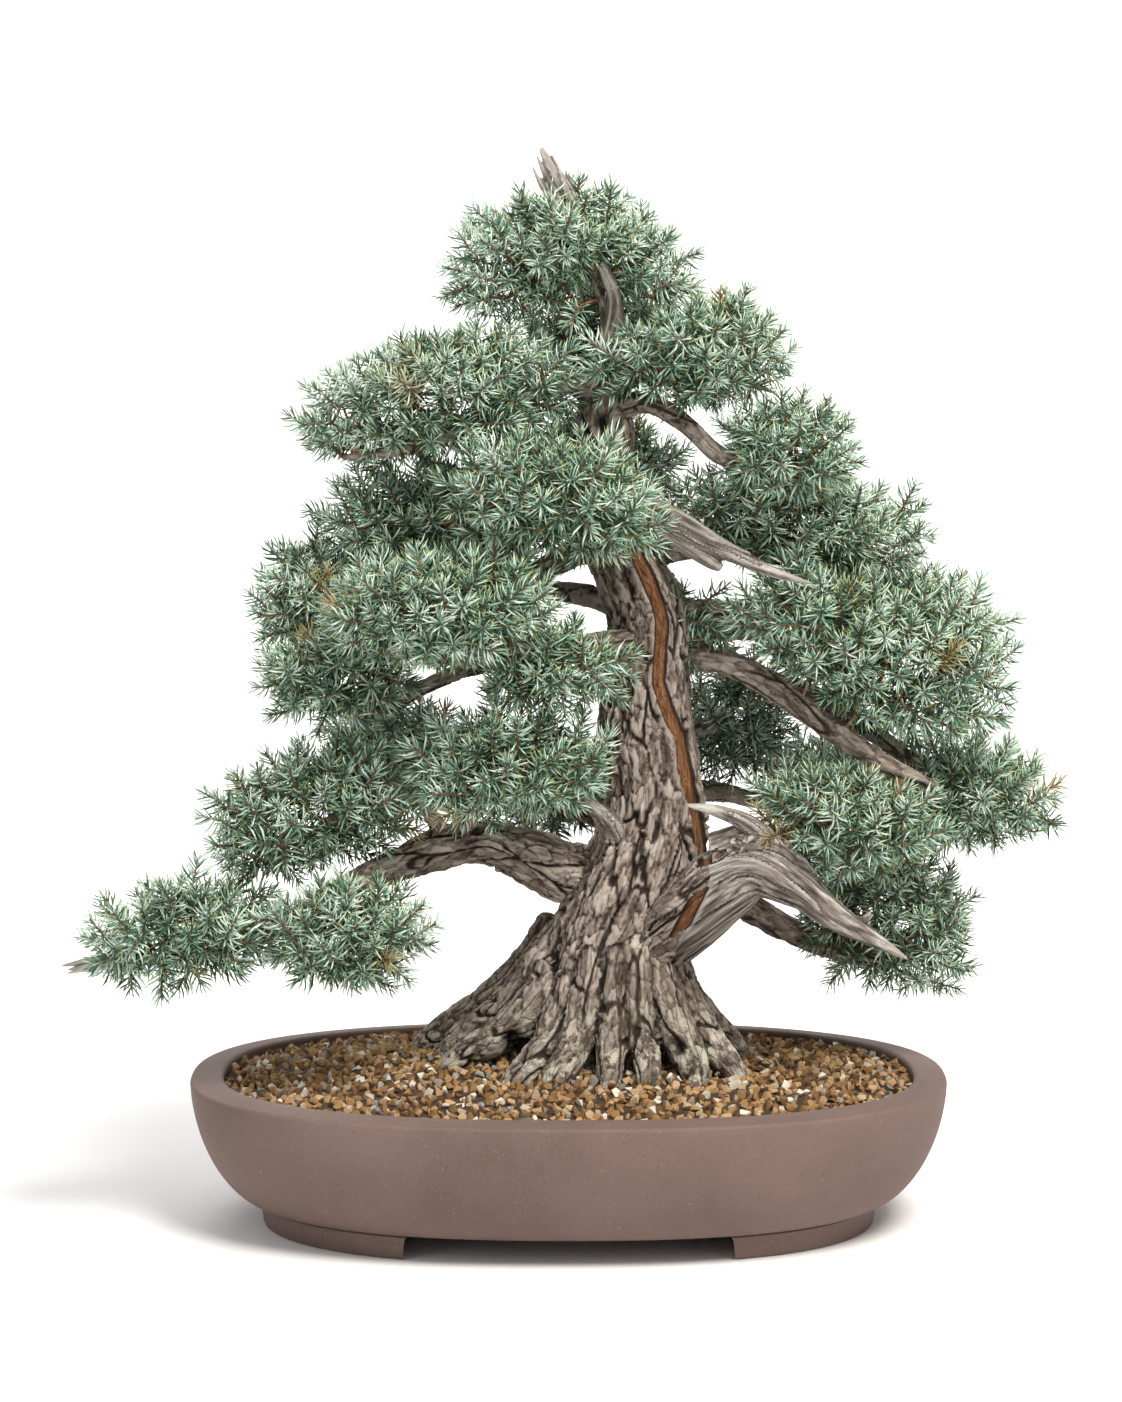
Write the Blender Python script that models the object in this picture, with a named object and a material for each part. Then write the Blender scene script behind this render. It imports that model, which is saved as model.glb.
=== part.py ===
"""Old blue-needled conifer bonsai in a shallow oval stoneware pot.

Metres, +Z up. The origin is on the ground under the middle of the pot, and the front of the tree
looks along -Y. The tree's own points are in millimetres, in a frame on the collar, where the trunk
meets the grit: x and y run from the middle of the pot, z from the collar.
"""

from math import ceil, cos, pi, sin

import bmesh
import bpy
from mathutils import Vector

# Driving sizes, in metres.
POT_LENGTH = 0.500
POT_DEPTH = 0.370
POT_HEIGHT = 0.097
PLAN_POWER = 2.4
LIP_WIDTH = 0.022
LIP_FALL = 0.0018
LIP_ROUNDING = 0.002
WALL = 0.011
FLOOR = 0.010
BOWL_TUCK_ENDS = 0.046
BOWL_TUCK_SIDES = 0.036
BOWL_POWER = 1.8
FOOT_HEIGHT = 0.016
FOOT_WIDTH = 0.018
FOOT_TAPER = 0.0015
FOOT_SHOULDER_DROP = 0.0016
FOOT_GAP_LENGTH = 0.210
FOOT_GAP_CORNER = 0.005
DRAIN_HOLE = 0.026
DRAIN_SPACING = 0.210
MESH_PITCH = 0.007
MESH_STRAND = 0.0016
MESH_THICKNESS = 0.001
MESH_OVERLAP = 0.0008
CLIP_WIRE = 0.0016
CLIP_REACH = 0.0064
GRIT_BELOW_LIP = 0.0065
GRIT_MOUND = 0.014
GRIT_MOUND_POWER = 1.6
TREE_HEIGHT = 0.602
TREE_SPREAD = 0.650
TRUNK_DIAMETER = 0.058

# Gaps that touching pieces keep.
SEAT = 0.0004
FOLIAGE_GAP = 0.001
THINNEST_WOOD = 0.0004

# What the tree's points in millimetres are drawn to, and how far the collar lies under the mound's crown.
DRAWN_HEIGHT = 602
DRAWN_SPREAD = 650
DRAWN_TRUNK = 58
COLLAR_BELOW_CROWN = 0.002

POT_SEGMENTS = 44
BOWL_RINGS = 7
INNER_RINGS = 6
GRIT_RINGS = 4
LAST_GRIT_STEP = 0.5
FOOT_BOND = FLOOR / 3
FOOT_BOND_INSET = WALL / 2
FOOT_GAP_STEPS = 4
HOLE_SEGMENTS = 24
WIRE_SIDES = 6
TRUNK_SIDES = 16
LIMB_SIDES = 8
ROOT_SIDES = 6
MOST_POINTS_TO_SMOOTH = 6

# Rings of the trunk: x, y, height, half width, half depth.
TRUNK_RINGS = [
    (14, 6, -14, 62, 40),
    (14, 5, 6, 62, 40),
    (15, 4, 20, 61, 40),
    (17, 3, 32, 58, 41),
    (20, 2, 47, 54, 41),
    (25, 0, 65, 50, 41),
    (31, -1, 84, 47, 41),
    (38, -3, 104, 45, 41),
    (47, -5, 127, 43, 40),
    (53, -6, 150, 39, 38),
    (56, -6, 171, 33, 33),
    (56, -3, 198, 31, 31),
    (52, 2, 223, 31, 31),
    (51, 5, 262, 29, 29),
    (53, 6, 290, 28, 28),
    (46, 3, 315, 28, 28),
    (34, -3, 340, 25, 25),
    (28, -4, 368, 20, 20),
    (25, -1, 388, 17, 17),
    (24, 3, 413, 19, 19),
    (24, 5, 436, 17, 17),
    (28, 8, 466, 11, 11),
    (29, 7, 491, 9, 9),
    (20, 4, 524, 8, 8),
    (14, 2, 536, 7, 7),
    (-2, -1, 573, 6.5, 6.5),
    (-14, -3, 594, 4, 4),
    (-18, -4, 602, 1.5, 1.5),
]

# Surface roots and limbs: x, y, height, radius along each one's middle line.
ROOTS = [
    [(-6, 14, 92, 14), (-22, 20, 58, 20), (-54, 32, 29, 16), (-86, 50, 8, 11), (-108, 62, -8, 6)],
    [(2, 2, 88, 14), (-18, 2, 56, 18), (-44, 6, 30, 15), (-70, 16, 12, 11), (-92, 26, -9, 5)],
    [(2, -8, 84, 14), (-14, -16, 50, 17), (-40, -18, 24, 13), (-66, -16, 9, 10), (-88, -12, -9, 6)],
    [(8, -18, 80, 13), (0, -30, 44, 14), (-14, -44, 18, 12), (-30, -58, 4, 10), (-44, -70, -10, 6)],
    [(18, -26, 88, 12), (11, -38, 46, 13), (2, -52, 17, 11), (-7, -64, 3, 9.5), (-14, -74, -10, 6)],
    [(32, -32, 80, 12), (30, -43, 38, 12), (28, -57, 13, 9.5), (27, -68, 1, 8), (26, -78, -10, 5)],
    [(44, -34, 84, 12), (46, -42, 42, 12), (50, -52, 17, 10), (52, -64, 3, 9), (50, -74, -10, 6)],
    [(54, -30, 84, 12), (64, -37, 46, 13), (74, -45, 22, 12), (82, -56, 6, 10), (84, -70, -10, 6)],
    [(60, -18, 83, 13), (74, -23, 45, 14.5), (91, -32, 21, 12), (105, -41, 5, 9.5), (115, -52, -9, 6)],
    [(64, 2, 84, 13), (72, 6, 48, 15), (90, 14, 24, 13), (107, 26, 8, 9.5), (122, 38, -9, 5)],
    [(54, 24, 74, 14), (64, 38, 36, 16), (78, 52, 17, 12), (94, 72, -9, 6)],
    [(30, 30, 78, 14), (26, 46, 36, 16), (22, 60, 14, 12), (18, 84, -9, 6)],
    [(2, 24, 76, 14), (-12, 36, 38, 16), (-32, 52, 16, 12), (-50, 76, -9, 6)],
]

LIMBS = {
    "branch_left_low": [
        [
            (24, -5, 123, 20),
            (-4, -8, 128, 20),
            (-31, -14, 141, 17),
            (-57, -20, 150, 14),
            (-84, -28, 146, 13.5),
            (-109, -38, 138, 11.5),
            (-132, -46, 130, 9.5),
            (-153, -52, 120, 7.5),
            (-175, -58, 107, 6.5),
            (-204, -63, 92, 5.5),
            (-236, -67, 83, 4.8),
            (-268, -69, 80, 4.2),
            (-298, -70, 79, 3.6),
            (-325, -70, 73, 1.3),
        ],
        [(-78, -24, 146, 6), (-95, -32, 176, 4.5), (-114, -36, 184, 4), (-136, -40, 183, 3)],
    ],
    "branch_left_inner": [
        [(-72, -24, 146, 7), (-66, -30, 176, 7), (-54, -40, 194, 6.5), (-46, -48, 208, 5),
         (-42, -52, 222, 3)],
    ],
    "branch_left_front": [
        [(44, -8, 282, 8), (8, -46, 282, 7), (-38, -74, 281, 6), (-90, -80, 277, 5), (-136, -72, 290, 3)],
    ],
    "branch_left_drop": [
        [(44, 4, 262, 8), (-10, 0, 276, 7), (-62, -18, 265, 6), (-95, -26, 252, 5), (-120, -30, 238, 4),
         (-148, -30, 240, 3)],
    ],
    "branch_left_mid": [
        [(40, 5, 338, 12), (14, 10, 341, 11), (-6, 18, 331, 9), (-28, 22, 320, 8), (-60, 22, 318, 6),
         (-98, 18, 312, 5), (-146, 12, 304, 3)],
    ],
    "branch_left_top": [
        [(24, 4, 438, 9), (8, -2, 446, 7.5), (-6, -8, 448, 6.5), (-24, -14, 441, 6), (-48, -20, 428, 5),
         (-78, -24, 416, 4.5), (-110, -26, 406, 4), (-144, -28, 402, 3)],
    ],
    "branch_right_mid": [
        [(54, 5, 258, 10), (80, 2, 267, 9), (98, -6, 268, 8.5), (120, -15, 260, 9), (145, -24, 245, 9),
         (168, -30, 228, 8.5), (188, -34, 214, 7.5), (212, -38, 200, 6), (240, -36, 188, 4)],
        [(132, -16, 254, 6.5), (158, 2, 246, 6.5), (186, 16, 228, 6.5), (214, 22, 208, 6),
         (240, 22, 190, 4.5)],
    ],
    "branch_right_high": [
        [(36, 0, 336, 9), (72, 4, 340, 8), (108, 6, 342, 6.5), (150, 4, 344, 5), (196, 2, 342, 3)],
    ],
    "branch_right_centre": [
        [(52, 6, 296, 9), (92, 0, 300, 8), (134, -8, 296, 7), (176, -10, 284, 5), (206, -8, 276, 3)],
    ],
    "branch_right_low": [
        [(48, 12, 130, 15), (82, 24, 119, 12), (116, 34, 100, 10), (150, 40, 80, 8.5), (184, 42, 66, 7),
         (214, 40, 62, 5.5), (238, 38, 68, 4)],
    ],
    "branch_right_shoulder": [
        [(24, 4, 434, 9), (50, -8, 437, 7), (76, -18, 423, 6.5), (97, -25, 404, 6), (120, -29, 396, 5),
         (146, -30, 398, 3.5)],
    ],
    "branch_right_top": [
        [(26, 7, 450, 8), (46, 2, 460, 6.5), (68, -5, 470, 5.5), (90, -10, 466, 4.5), (114, -14, 466, 3)],
    ],
    "branch_front_centre": [
        [(30, -6, 352, 9), (14, -34, 362, 7), (0, -56, 370, 4.5)],
    ],
    "branch_back_right": [
        [(54, 8, 214, 10), (78, 44, 216, 7.5), (104, 72, 214, 5)],
    ],
    "branch_back_low": [
        [(44, 8, 146, 11), (26, 46, 152, 8), (2, 78, 158, 5)],
    ],
    "branch_back_left": [
        [(46, 8, 302, 10), (8, 54, 306, 8), (-42, 92, 308, 6), (-84, 106, 310, 4)],
    ],
    "branch_back_right_mid": [
        [(52, 10, 276, 10), (92, 60, 280, 8), (140, 96, 276, 6), (182, 108, 272, 4)],
    ],
    "branch_back_high": [
        [(30, 4, 366, 9), (28, 48, 374, 7), (22, 84, 378, 4.5)],
    ],
    "branch_back_top": [
        [(27, 8, 462, 7), (24, 38, 470, 5.5), (20, 60, 474, 4)],
    ],
    "branch_back_low_right": [
        [(50, 14, 170, 11), (92, 68, 172, 8), (140, 108, 158, 6), (184, 122, 150, 4)],
    ],
    "branch_back_low_left": [
        [(40, 14, 196, 11), (-24, 70, 194, 8), (-76, 100, 186, 6), (-116, 108, 180, 4)],
    ],
    "deadwood_right_low": [
        [(56, -16, 84, 18), (78, -36, 104, 24), (102, -51, 128, 24), (124, -59, 138, 19),
         (147, -65, 127, 13), (170, -71, 110, 9.5), (193, -77, 97, 6), (218, -83, 83, 1.3)],
        [(110, -54, 140, 20), (128, -58, 156, 9), (113, -62, 169, 6), (94, -66, 177, 4),
         (75, -69, 181, 1.3)],
        [(160, -68, 116, 8), (176, -71, 106, 5), (188, -74, 106, 3), (195, -75, 113, 1)],
    ],
    "deadwood_right_upper": [
        [(44, -12, 366, 9), (64, -27, 360, 8), (88, -39, 348, 6.5), (112, -49, 338, 5),
         (135, -56, 329, 3.5), (157, -60, 323, 1)],
        [(58, -22, 358, 6), (80, -36, 342, 4), (98, -42, 331, 1.3)],
    ],
    "deadwood_left_stub": [
        [(34, -26, 152, 9), (24, -36, 166, 7), (16, -41, 176, 4.5), (9, -44, 186, 1.3)],
    ],
}

# Foliage pads: lumps of x, y, height, half width, half depth, half height. The first holds the middle.
PADS = {
    "foliage_apex": [(-2, 2, 540, 42, 40, 35), (-52, -2, 516, 37, 38, 32), (55, 2, 520, 32, 36, 34)],
    "foliage_upper_left": [
        (-80, -18, 440, 62, 44, 40),
        (-35, -16, 456, 44, 36, 31),
        (-140, -16, 422, 40, 40, 40),
    ],
    "foliage_upper_right": [
        (84, -10, 466, 52, 42, 36),
        (42, -16, 466, 32, 34, 33),
        (116, -6, 472, 32, 36, 28),
    ],
    "foliage_right_shoulder": [(140, -30, 406, 43, 40, 31)],
    "foliage_front_centre": [
        (-8, -64, 380, 52, 38, 34),
        (26, -62, 366, 36, 34, 28),
        (-46, -58, 378, 32, 34, 28),
    ],
    "foliage_right_high": [
        (150, 10, 354, 58, 46, 30),
        (98, 6, 365, 44, 40, 28),
        (198, 12, 343, 36, 40, 33),
    ],
    "foliage_left_high": [
        (-84, 18, 362, 56, 44, 30),
        (-128, 16, 350, 32, 38, 30),
        (-40, 20, 362, 36, 38, 28),
    ],
    "foliage_left_front": [
        (-84, -84, 306, 66, 44, 38),
        (-40, -76, 314, 38, 36, 28),
        (-122, -78, 300, 34, 36, 32),
    ],
    "foliage_left_outer": [(-168, 16, 308, 34, 42, 36)],
    "foliage_left_mid": [(-152, -34, 260, 52, 38, 29)],
    "foliage_centre_low": [(-11, -66, 267, 47, 30, 24)],
    "foliage_left_inner": [
        (-44, -70, 203, 62, 38, 34),
        (-4, -62, 206, 32, 30, 27),
        (-72, -66, 203, 30, 32, 30),
    ],
    "foliage_low_left": [
        (-164, -38, 172, 48, 42, 38),
        (-133, -36, 182, 32, 36, 34),
        (-206, -36, 158, 36, 38, 37),
    ],
    "foliage_far_left": [(-236, -66, 98, 42, 38, 34), (-286, -68, 88, 33, 32, 30)],
    "foliage_low_left_front": [(-143, -86, 96, 55, 38, 34)],
    "foliage_right_main": [
        (190, -14, 262, 62, 50, 52),
        (146, -24, 292, 40, 40, 44),
        (234, -6, 280, 54, 46, 46),
        (262, 0, 246, 40, 42, 36),
    ],
    "foliage_far_right": [(264, 36, 172, 61, 42, 36)],
    "foliage_right_low_front": [(180, -38, 166, 61, 38, 38)],
    "foliage_right_inner_back": [(112, 88, 214, 36, 38, 42)],
    "foliage_low_right": [(212, 52, 88, 56, 46, 44), (240, 48, 66, 34, 38, 36)],
    "foliage_centre_back": [(-10, 94, 166, 38, 36, 30)],
    "foliage_back_left": [(-84, 116, 320, 60, 44, 38)],
    "foliage_back_right": [(182, 118, 284, 58, 44, 40)],
    "foliage_back_high": [(18, 92, 388, 56, 40, 35)],
    "foliage_back_top": [(18, 72, 480, 46, 36, 36)],
    "foliage_back_low_right": [(186, 138, 160, 54, 42, 36)],
    "foliage_back_low_left": [(-118, 120, 188, 54, 44, 36)],
}

# The lower half of a pad is flatter than its dome.
PAD_UNDERSIDE = 0.85
PAD_SEGMENTS = 10
PAD_RINGS = 6

# Metres for each millimetre that the tree is drawn in.
height_scale = TREE_HEIGHT / DRAWN_HEIGHT
spread_scale = TREE_SPREAD / DRAWN_SPREAD
girth_scale = TRUNK_DIAMETER / DRAWN_TRUNK
grit_edge_z = POT_HEIGHT - GRIT_BELOW_LIP
collar_z = grit_edge_z + GRIT_MOUND - COLLAR_BELOW_CROWN
floor_z = FOOT_HEIGHT + FLOOR


def clear_scene():
    for obj in list(bpy.data.objects):
        bpy.data.objects.remove(obj, do_unlink=True)


def material(name, colour, roughness, metallic=0.0):
    made = bpy.data.materials.new(name)
    made.use_nodes = True
    shader = made.node_tree.nodes["Principled BSDF"]
    shader.inputs["Base Color"].default_value = (*colour, 1.0)
    shader.inputs["Roughness"].default_value = roughness
    shader.inputs["Metallic"].default_value = metallic
    return made


def placed(name, mesh, finish=None):
    """An object of this mesh in the scene, smooth but for its sharp edges."""
    mesh.shade_smooth()
    mesh.set_sharp_from_angle(angle=pi / 5)
    obj = bpy.data.objects.new(name, mesh)
    if finish:
        mesh.materials.append(finish)
    bpy.context.scene.collection.objects.link(obj)
    return obj


def helper(obj):
    """A cutter or a copy that stays out of the model."""
    obj.hide_render = True
    obj.display_type = "WIRE"
    return obj


def combine(obj, other, operation, name):
    modifier = obj.modifiers.new(name, "BOOLEAN")
    modifier.operation = operation
    modifier.solver = "EXACT"
    modifier.object = other


def loft(name, rings, finish=None):
    """A closed skin over rings of points, with a flat cap on the first and the last."""
    bm = bmesh.new()
    loops = [[bm.verts.new(point) for point in ring] for ring in rings]
    for low, high in zip(loops, loops[1:]):
        count = len(low)
        for i in range(count):
            j = (i + 1) % count
            bm.faces.new((low[i], low[j], high[j], high[i]))
    bm.faces.new(list(reversed(loops[0])))
    bm.faces.new(loops[-1])
    bmesh.ops.recalc_face_normals(bm, faces=bm.faces)
    mesh = bpy.data.meshes.new(name)
    bm.to_mesh(mesh)
    bm.free()
    return placed(name, mesh, finish)


def box(name, centre, size):
    bm = bmesh.new()
    bmesh.ops.create_cube(bm, size=1.0)
    bmesh.ops.scale(bm, vec=size, verts=bm.verts)
    bmesh.ops.translate(bm, vec=centre, verts=bm.verts)
    mesh = bpy.data.meshes.new(name)
    bm.to_mesh(mesh)
    bm.free()
    return placed(name, mesh)


def cylinder(name, radius, low, high, x, y, segments=HOLE_SEGMENTS):
    def ring(z):
        return [
            (x + radius * cos(2 * pi * i / segments), y + radius * sin(2 * pi * i / segments), z)
            for i in range(segments)
        ]

    return loft(name, [ring(low), ring(high)])


def oval(half_length, half_depth, z, segments=POT_SEGMENTS):
    """One ring of the pot's plan, a superellipse a little fuller than an ellipse."""
    points = []
    for i in range(segments):
        angle = 2 * pi * i / segments
        across, along = cos(angle), sin(angle)
        x = half_length * abs(across) ** (2 / PLAN_POWER) * (1 if across >= 0 else -1)
        y = half_depth * abs(along) ** (2 / PLAN_POWER) * (1 if along >= 0 else -1)
        points.append((x, y, z))
    return points


# ---------------------------------------------------------------- pot


def tuck(z):
    """How far the bowl has drawn in at this height, from 0 at the lip to 1 at the foot."""
    down = (POT_HEIGHT - LIP_FALL - z) / (POT_HEIGHT - LIP_FALL - FOOT_HEIGHT)
    down = min(max(down, 0.0), 1.0)
    return 1 - (1 - down**BOWL_POWER) ** (1 / BOWL_POWER)


def outside(z, inset=0.0):
    return oval(
        POT_LENGTH / 2 - BOWL_TUCK_ENDS * tuck(z) - inset,
        POT_DEPTH / 2 - BOWL_TUCK_SIDES * tuck(z) - inset,
        z,
    )


def inside(z, clearance=0.0, lift=0.0):
    """The inner wall: straight down from the lip's inner edge, then along the bowl."""
    ends = max(LIP_WIDTH, BOWL_TUCK_ENDS * tuck(z) + WALL) + clearance
    sides = max(LIP_WIDTH, BOWL_TUCK_SIDES * tuck(z) + WALL) + clearance
    return oval(POT_LENGTH / 2 - ends, POT_DEPTH / 2 - sides, z + lift)


def wall_heights(low, high, steps):
    """Heights that crowd towards the foot, where the bowl turns fastest."""
    return [low + (high - low) * (1 - cos(pi / 2 * i / steps)) for i in range(steps + 1)]


def inner_heights():
    """Where the inner wall has a ring, which the grit shares so that it never crosses the wall."""
    return wall_heights(floor_z, POT_HEIGHT - LIP_ROUNDING, INNER_RINGS)


def build_pot(finish):
    lip_edge_z = POT_HEIGHT - LIP_FALL
    rounded = LIP_ROUNDING * (1 - cos(pi / 4))
    rings = [outside(z) for z in wall_heights(FOOT_HEIGHT, lip_edge_z - LIP_ROUNDING, BOWL_RINGS)]
    rings.append(outside(lip_edge_z - rounded, rounded))
    rings.append(outside(lip_edge_z, LIP_ROUNDING))
    inner_edge = LIP_WIDTH - LIP_ROUNDING
    rings.append(oval(POT_LENGTH / 2 - inner_edge, POT_DEPTH / 2 - inner_edge, POT_HEIGHT))
    rings += [inside(z) for z in reversed(inner_heights())]
    pot = loft("pot", rings, finish)

    foot_ends = POT_LENGTH / 2 - BOWL_TUCK_ENDS
    foot_sides = POT_DEPTH / 2 - BOWL_TUCK_SIDES
    foot = helper(loft("foot_ring", [
        oval(foot_ends - FOOT_TAPER, foot_sides - FOOT_TAPER, 0),
        oval(foot_ends, foot_sides, FOOT_HEIGHT - FOOT_SHOULDER_DROP),
        oval(foot_ends - FOOT_BOND_INSET, foot_sides - FOOT_BOND_INSET, FOOT_HEIGHT + FOOT_BOND),
    ]))
    foot_hollow = helper(loft("foot_hollow", [
        oval(foot_ends - FOOT_WIDTH, foot_sides - FOOT_WIDTH, -FOOT_HEIGHT),
        oval(foot_ends - FOOT_WIDTH, foot_sides - FOOT_WIDTH, FOOT_HEIGHT),
    ]))
    combine(foot, foot_hollow, "DIFFERENCE", "hollow")
    foot_gap = helper(build_foot_gap())
    combine(foot, foot_gap, "DIFFERENCE", "gap")
    combine(pot, foot, "UNION", "foot")
    for name, x in drain_places():
        hole = helper(cylinder(f"drain_hole_{name}", DRAIN_HOLE / 2, 0, POT_HEIGHT, x, 0))
        combine(pot, hole, "DIFFERENCE", f"drain_{name}")
    return pot


def build_foot_gap():
    """One cutter from front to back, with rounded upper corners, so that two feet are left."""
    half = FOOT_GAP_LENGTH / 2
    corner = FOOT_GAP_CORNER
    outline = [(-half - corner / 2, -FOOT_HEIGHT), (-half, FOOT_HEIGHT - corner)]
    for i in range(1, FOOT_GAP_STEPS + 1):
        angle = pi / 2 * i / FOOT_GAP_STEPS
        outline.append((-half + corner * (1 - cos(angle)), FOOT_HEIGHT - corner + corner * sin(angle)))
    outline += [(-x, z) for x, z in reversed(outline)]
    return loft("foot_gap", [[(x, y, z) for x, z in outline] for y in (-POT_DEPTH, POT_DEPTH)])


def drain_places():
    return [("left", -DRAIN_SPACING / 2), ("right", DRAIN_SPACING / 2)]


# ---------------------------------------------------------------- grit and drainage


def mesh_openings():
    """How many openings of the mesh lie on each side of its middle, enough to reach past the drain hole."""
    return ceil((DRAIN_HOLE / 2 + MESH_OVERLAP) / MESH_PITCH)


def mesh_half():
    return mesh_openings() * MESH_PITCH + MESH_STRAND / 2


def clip_leg():
    """How far out a clip's leg goes down: the middle of the outermost opening over the drain hole."""
    chord = ((DRAIN_HOLE / 2) ** 2 - (MESH_PITCH / 2) ** 2) ** 0.5
    openings = int((chord - CLIP_WIRE) / MESH_PITCH + 0.5)
    return (openings - 0.5) * MESH_PITCH


def build_drain_mesh(name, x, finish):
    """A square of plastic mesh lying over a drain hole."""
    lines = []
    each_way = mesh_openings()
    for i in range(-each_way, each_way + 1):
        middle = i * MESH_PITCH
        lines += [middle - MESH_STRAND / 2, middle + MESH_STRAND / 2]
    bm = bmesh.new()
    z = floor_z + SEAT
    grid = [[bm.verts.new((x + across, along, z)) for across in lines] for along in lines]
    for row in range(len(lines) - 1):
        for column in range(len(lines) - 1):
            if row % 2 and column % 2:
                continue
            bm.faces.new((
                grid[row][column], grid[row][column + 1], grid[row + 1][column + 1], grid[row + 1][column],
            ))
    mesh = bpy.data.meshes.new(name)
    bm.to_mesh(mesh)
    bm.free()
    obj = placed(name, mesh, finish)
    thicken = obj.modifiers.new("thickness", "SOLIDIFY")
    thicken.thickness = MESH_THICKNESS
    thicken.offset = 1.0
    return obj


def build_mesh_clip(name, x, finish):
    """The wire staple that holds the mesh: over the top, down through the hole, and out under the floor."""
    leg = clip_leg()
    y = MESH_PITCH / 2
    radius = CLIP_WIRE / 2
    top = floor_z + SEAT + MESH_THICKNESS + SEAT + radius
    under = FOOT_HEIGHT - SEAT - radius
    half = [
        (DRAIN_HOLE / 2 + CLIP_REACH, under),
        (leg + CLIP_WIRE, under),
        (leg, under + CLIP_WIRE),
        (leg, top - CLIP_WIRE),
        (leg - CLIP_WIRE, top),
    ]
    route = [(x + across, y, z) for across, z in half]
    route += [(x - across, y, z) for across, z in reversed(half)]
    rings = tube_rings([Vector(point) for point in route], [radius] * len(route), WIRE_SIDES)
    return loft(name, rings, finish)


def build_grit(finish):
    rings = [inside(floor_z, SEAT, SEAT)]
    rings += [inside(z, SEAT) for z in inner_heights()[1:] if z < grit_edge_z]
    rings.append(inside(grit_edge_z, SEAT))
    for step in range(1, GRIT_RINGS + 1):
        out = 1 - step / (GRIT_RINGS + LAST_GRIT_STEP)
        z = grit_edge_z + GRIT_MOUND * (1 - out**GRIT_MOUND_POWER)
        rings.append(oval(
            (POT_LENGTH / 2 - LIP_WIDTH - SEAT) * out, (POT_DEPTH / 2 - LIP_WIDTH - SEAT) * out, z,
        ))
    grit = loft("grit", rings, finish)
    pocket_top = floor_z + MESH_THICKNESS + 2 * CLIP_WIRE + 3 * SEAT
    for name, x in drain_places():
        side = 2 * (mesh_half() + FOLIAGE_GAP)
        height = 2 * (pocket_top - floor_z)
        pocket = helper(box(f"mesh_pocket_{name}", (x, 0, floor_z), (side, side, height)))
        combine(grit, pocket, "DIFFERENCE", f"pocket_{name}")
    return grit


# ---------------------------------------------------------------- tree


def tree_point(x, y, height):
    return Vector((x * spread_scale, y * spread_scale, collar_z + height * height_scale))


def smooth_line(points, steps=2):
    """The same line with points read between its own ones from a Catmull-Rom curve."""
    ends = [points[0] * 2 - points[1], *points, points[-1] * 2 - points[-2]]
    line = []
    for a, b, c, d in zip(ends, ends[1:], ends[2:], ends[3:]):
        for i in range(steps):
            t = i / steps
            line.append(
                b + (c - a) * (t / 2)
                + (a * 2 - b * 5 + c * 4 - d) * (t * t / 2)
                + (b * 3 - a - c * 3 + d) * (t**3 / 2)
            )
    line.append(points[-1].copy())
    return line


def tube_rings(line, radii, sides):
    """Rings across a line, each turned as little as it can be from the one before."""
    rings = []
    turn_from = (line[1] - line[0]).normalized()
    across = turn_from.orthogonal().normalized()
    for i, (centre, radius) in enumerate(zip(line, radii)):
        ahead = line[min(i + 1, len(line) - 1)] - line[max(i - 1, 0)]
        ahead.normalize()
        across = turn_from.rotation_difference(ahead) @ across
        turn_from = ahead
        other = ahead.cross(across)
        rings.append([
            centre + radius * (across * cos(2 * pi * k / sides) + other * sin(2 * pi * k / sides))
            for k in range(sides)
        ])
    return rings


def limb_tube(name, points, sides, grow, finish=None):
    """One tapering length of wood, from points of x, y, height and radius."""
    with_radius = [
        Vector((*tree_point(*point[:3]), point[3] * girth_scale)) for point in points
    ]
    smooth = smooth_line(with_radius) if len(points) <= MOST_POINTS_TO_SMOOTH else with_radius
    radii = [max(point[3], THINNEST_WOOD) + grow for point in smooth]
    return loft(name, tube_rings([point.xyz for point in smooth], radii, sides), finish)


def trunk_solid(name, grow, finish=None):
    """The trunk from below the grit to the dead tip, with its surface roots joined on."""
    rings = []
    for x, y, height, half_width, half_depth in TRUNK_RINGS:
        centre = tree_point(x, y, height)
        wide = half_width * girth_scale + grow
        deep = half_depth * girth_scale + grow
        rings.append([
            centre + Vector((wide * cos(2 * pi * k / TRUNK_SIDES), deep * sin(2 * pi * k / TRUNK_SIDES), 0))
            for k in range(TRUNK_SIDES)
        ])
    rings[0] = [point - Vector((0, 0, grow)) for point in rings[0]]
    rings[-1] = [point + Vector((0, 0, grow)) for point in rings[-1]]
    trunk = loft(name, rings, finish)
    for index, points in enumerate(ROOTS):
        root = helper(limb_tube(f"{name}_root_{index}", points, ROOT_SIDES, grow))
        combine(trunk, root, "UNION", f"root_{index}")
    return trunk


def limb_solid(name, lines, grow, finish=None):
    limb = limb_tube(name, lines[0], LIMB_SIDES, grow, finish)
    for index, points in enumerate(lines[1:]):
        fork = helper(limb_tube(f"{name}_fork_{index}", points, LIMB_SIDES - 2, grow))
        combine(limb, fork, "UNION", f"fork_{index}")
    return limb


def reach(middle, way, lump):
    """How far a ray from the pad's middle runs before it leaves this lump, or 0 if it misses."""
    x, y, height, wide, deep, tall = lump
    size = Vector((wide, deep, tall))
    start = middle - Vector((x, y, height))
    start = Vector((start.x / size.x, start.y / size.y, start.z / size.z))
    step = Vector((way.x / size.x, way.y / size.y, way.z / size.z))
    square = step.dot(step)
    half_b = start.dot(step)
    inner = half_b * half_b - square * (start.dot(start) - 1)
    return (-half_b + inner**0.5) / square if inner > 0 else 0.0


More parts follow.
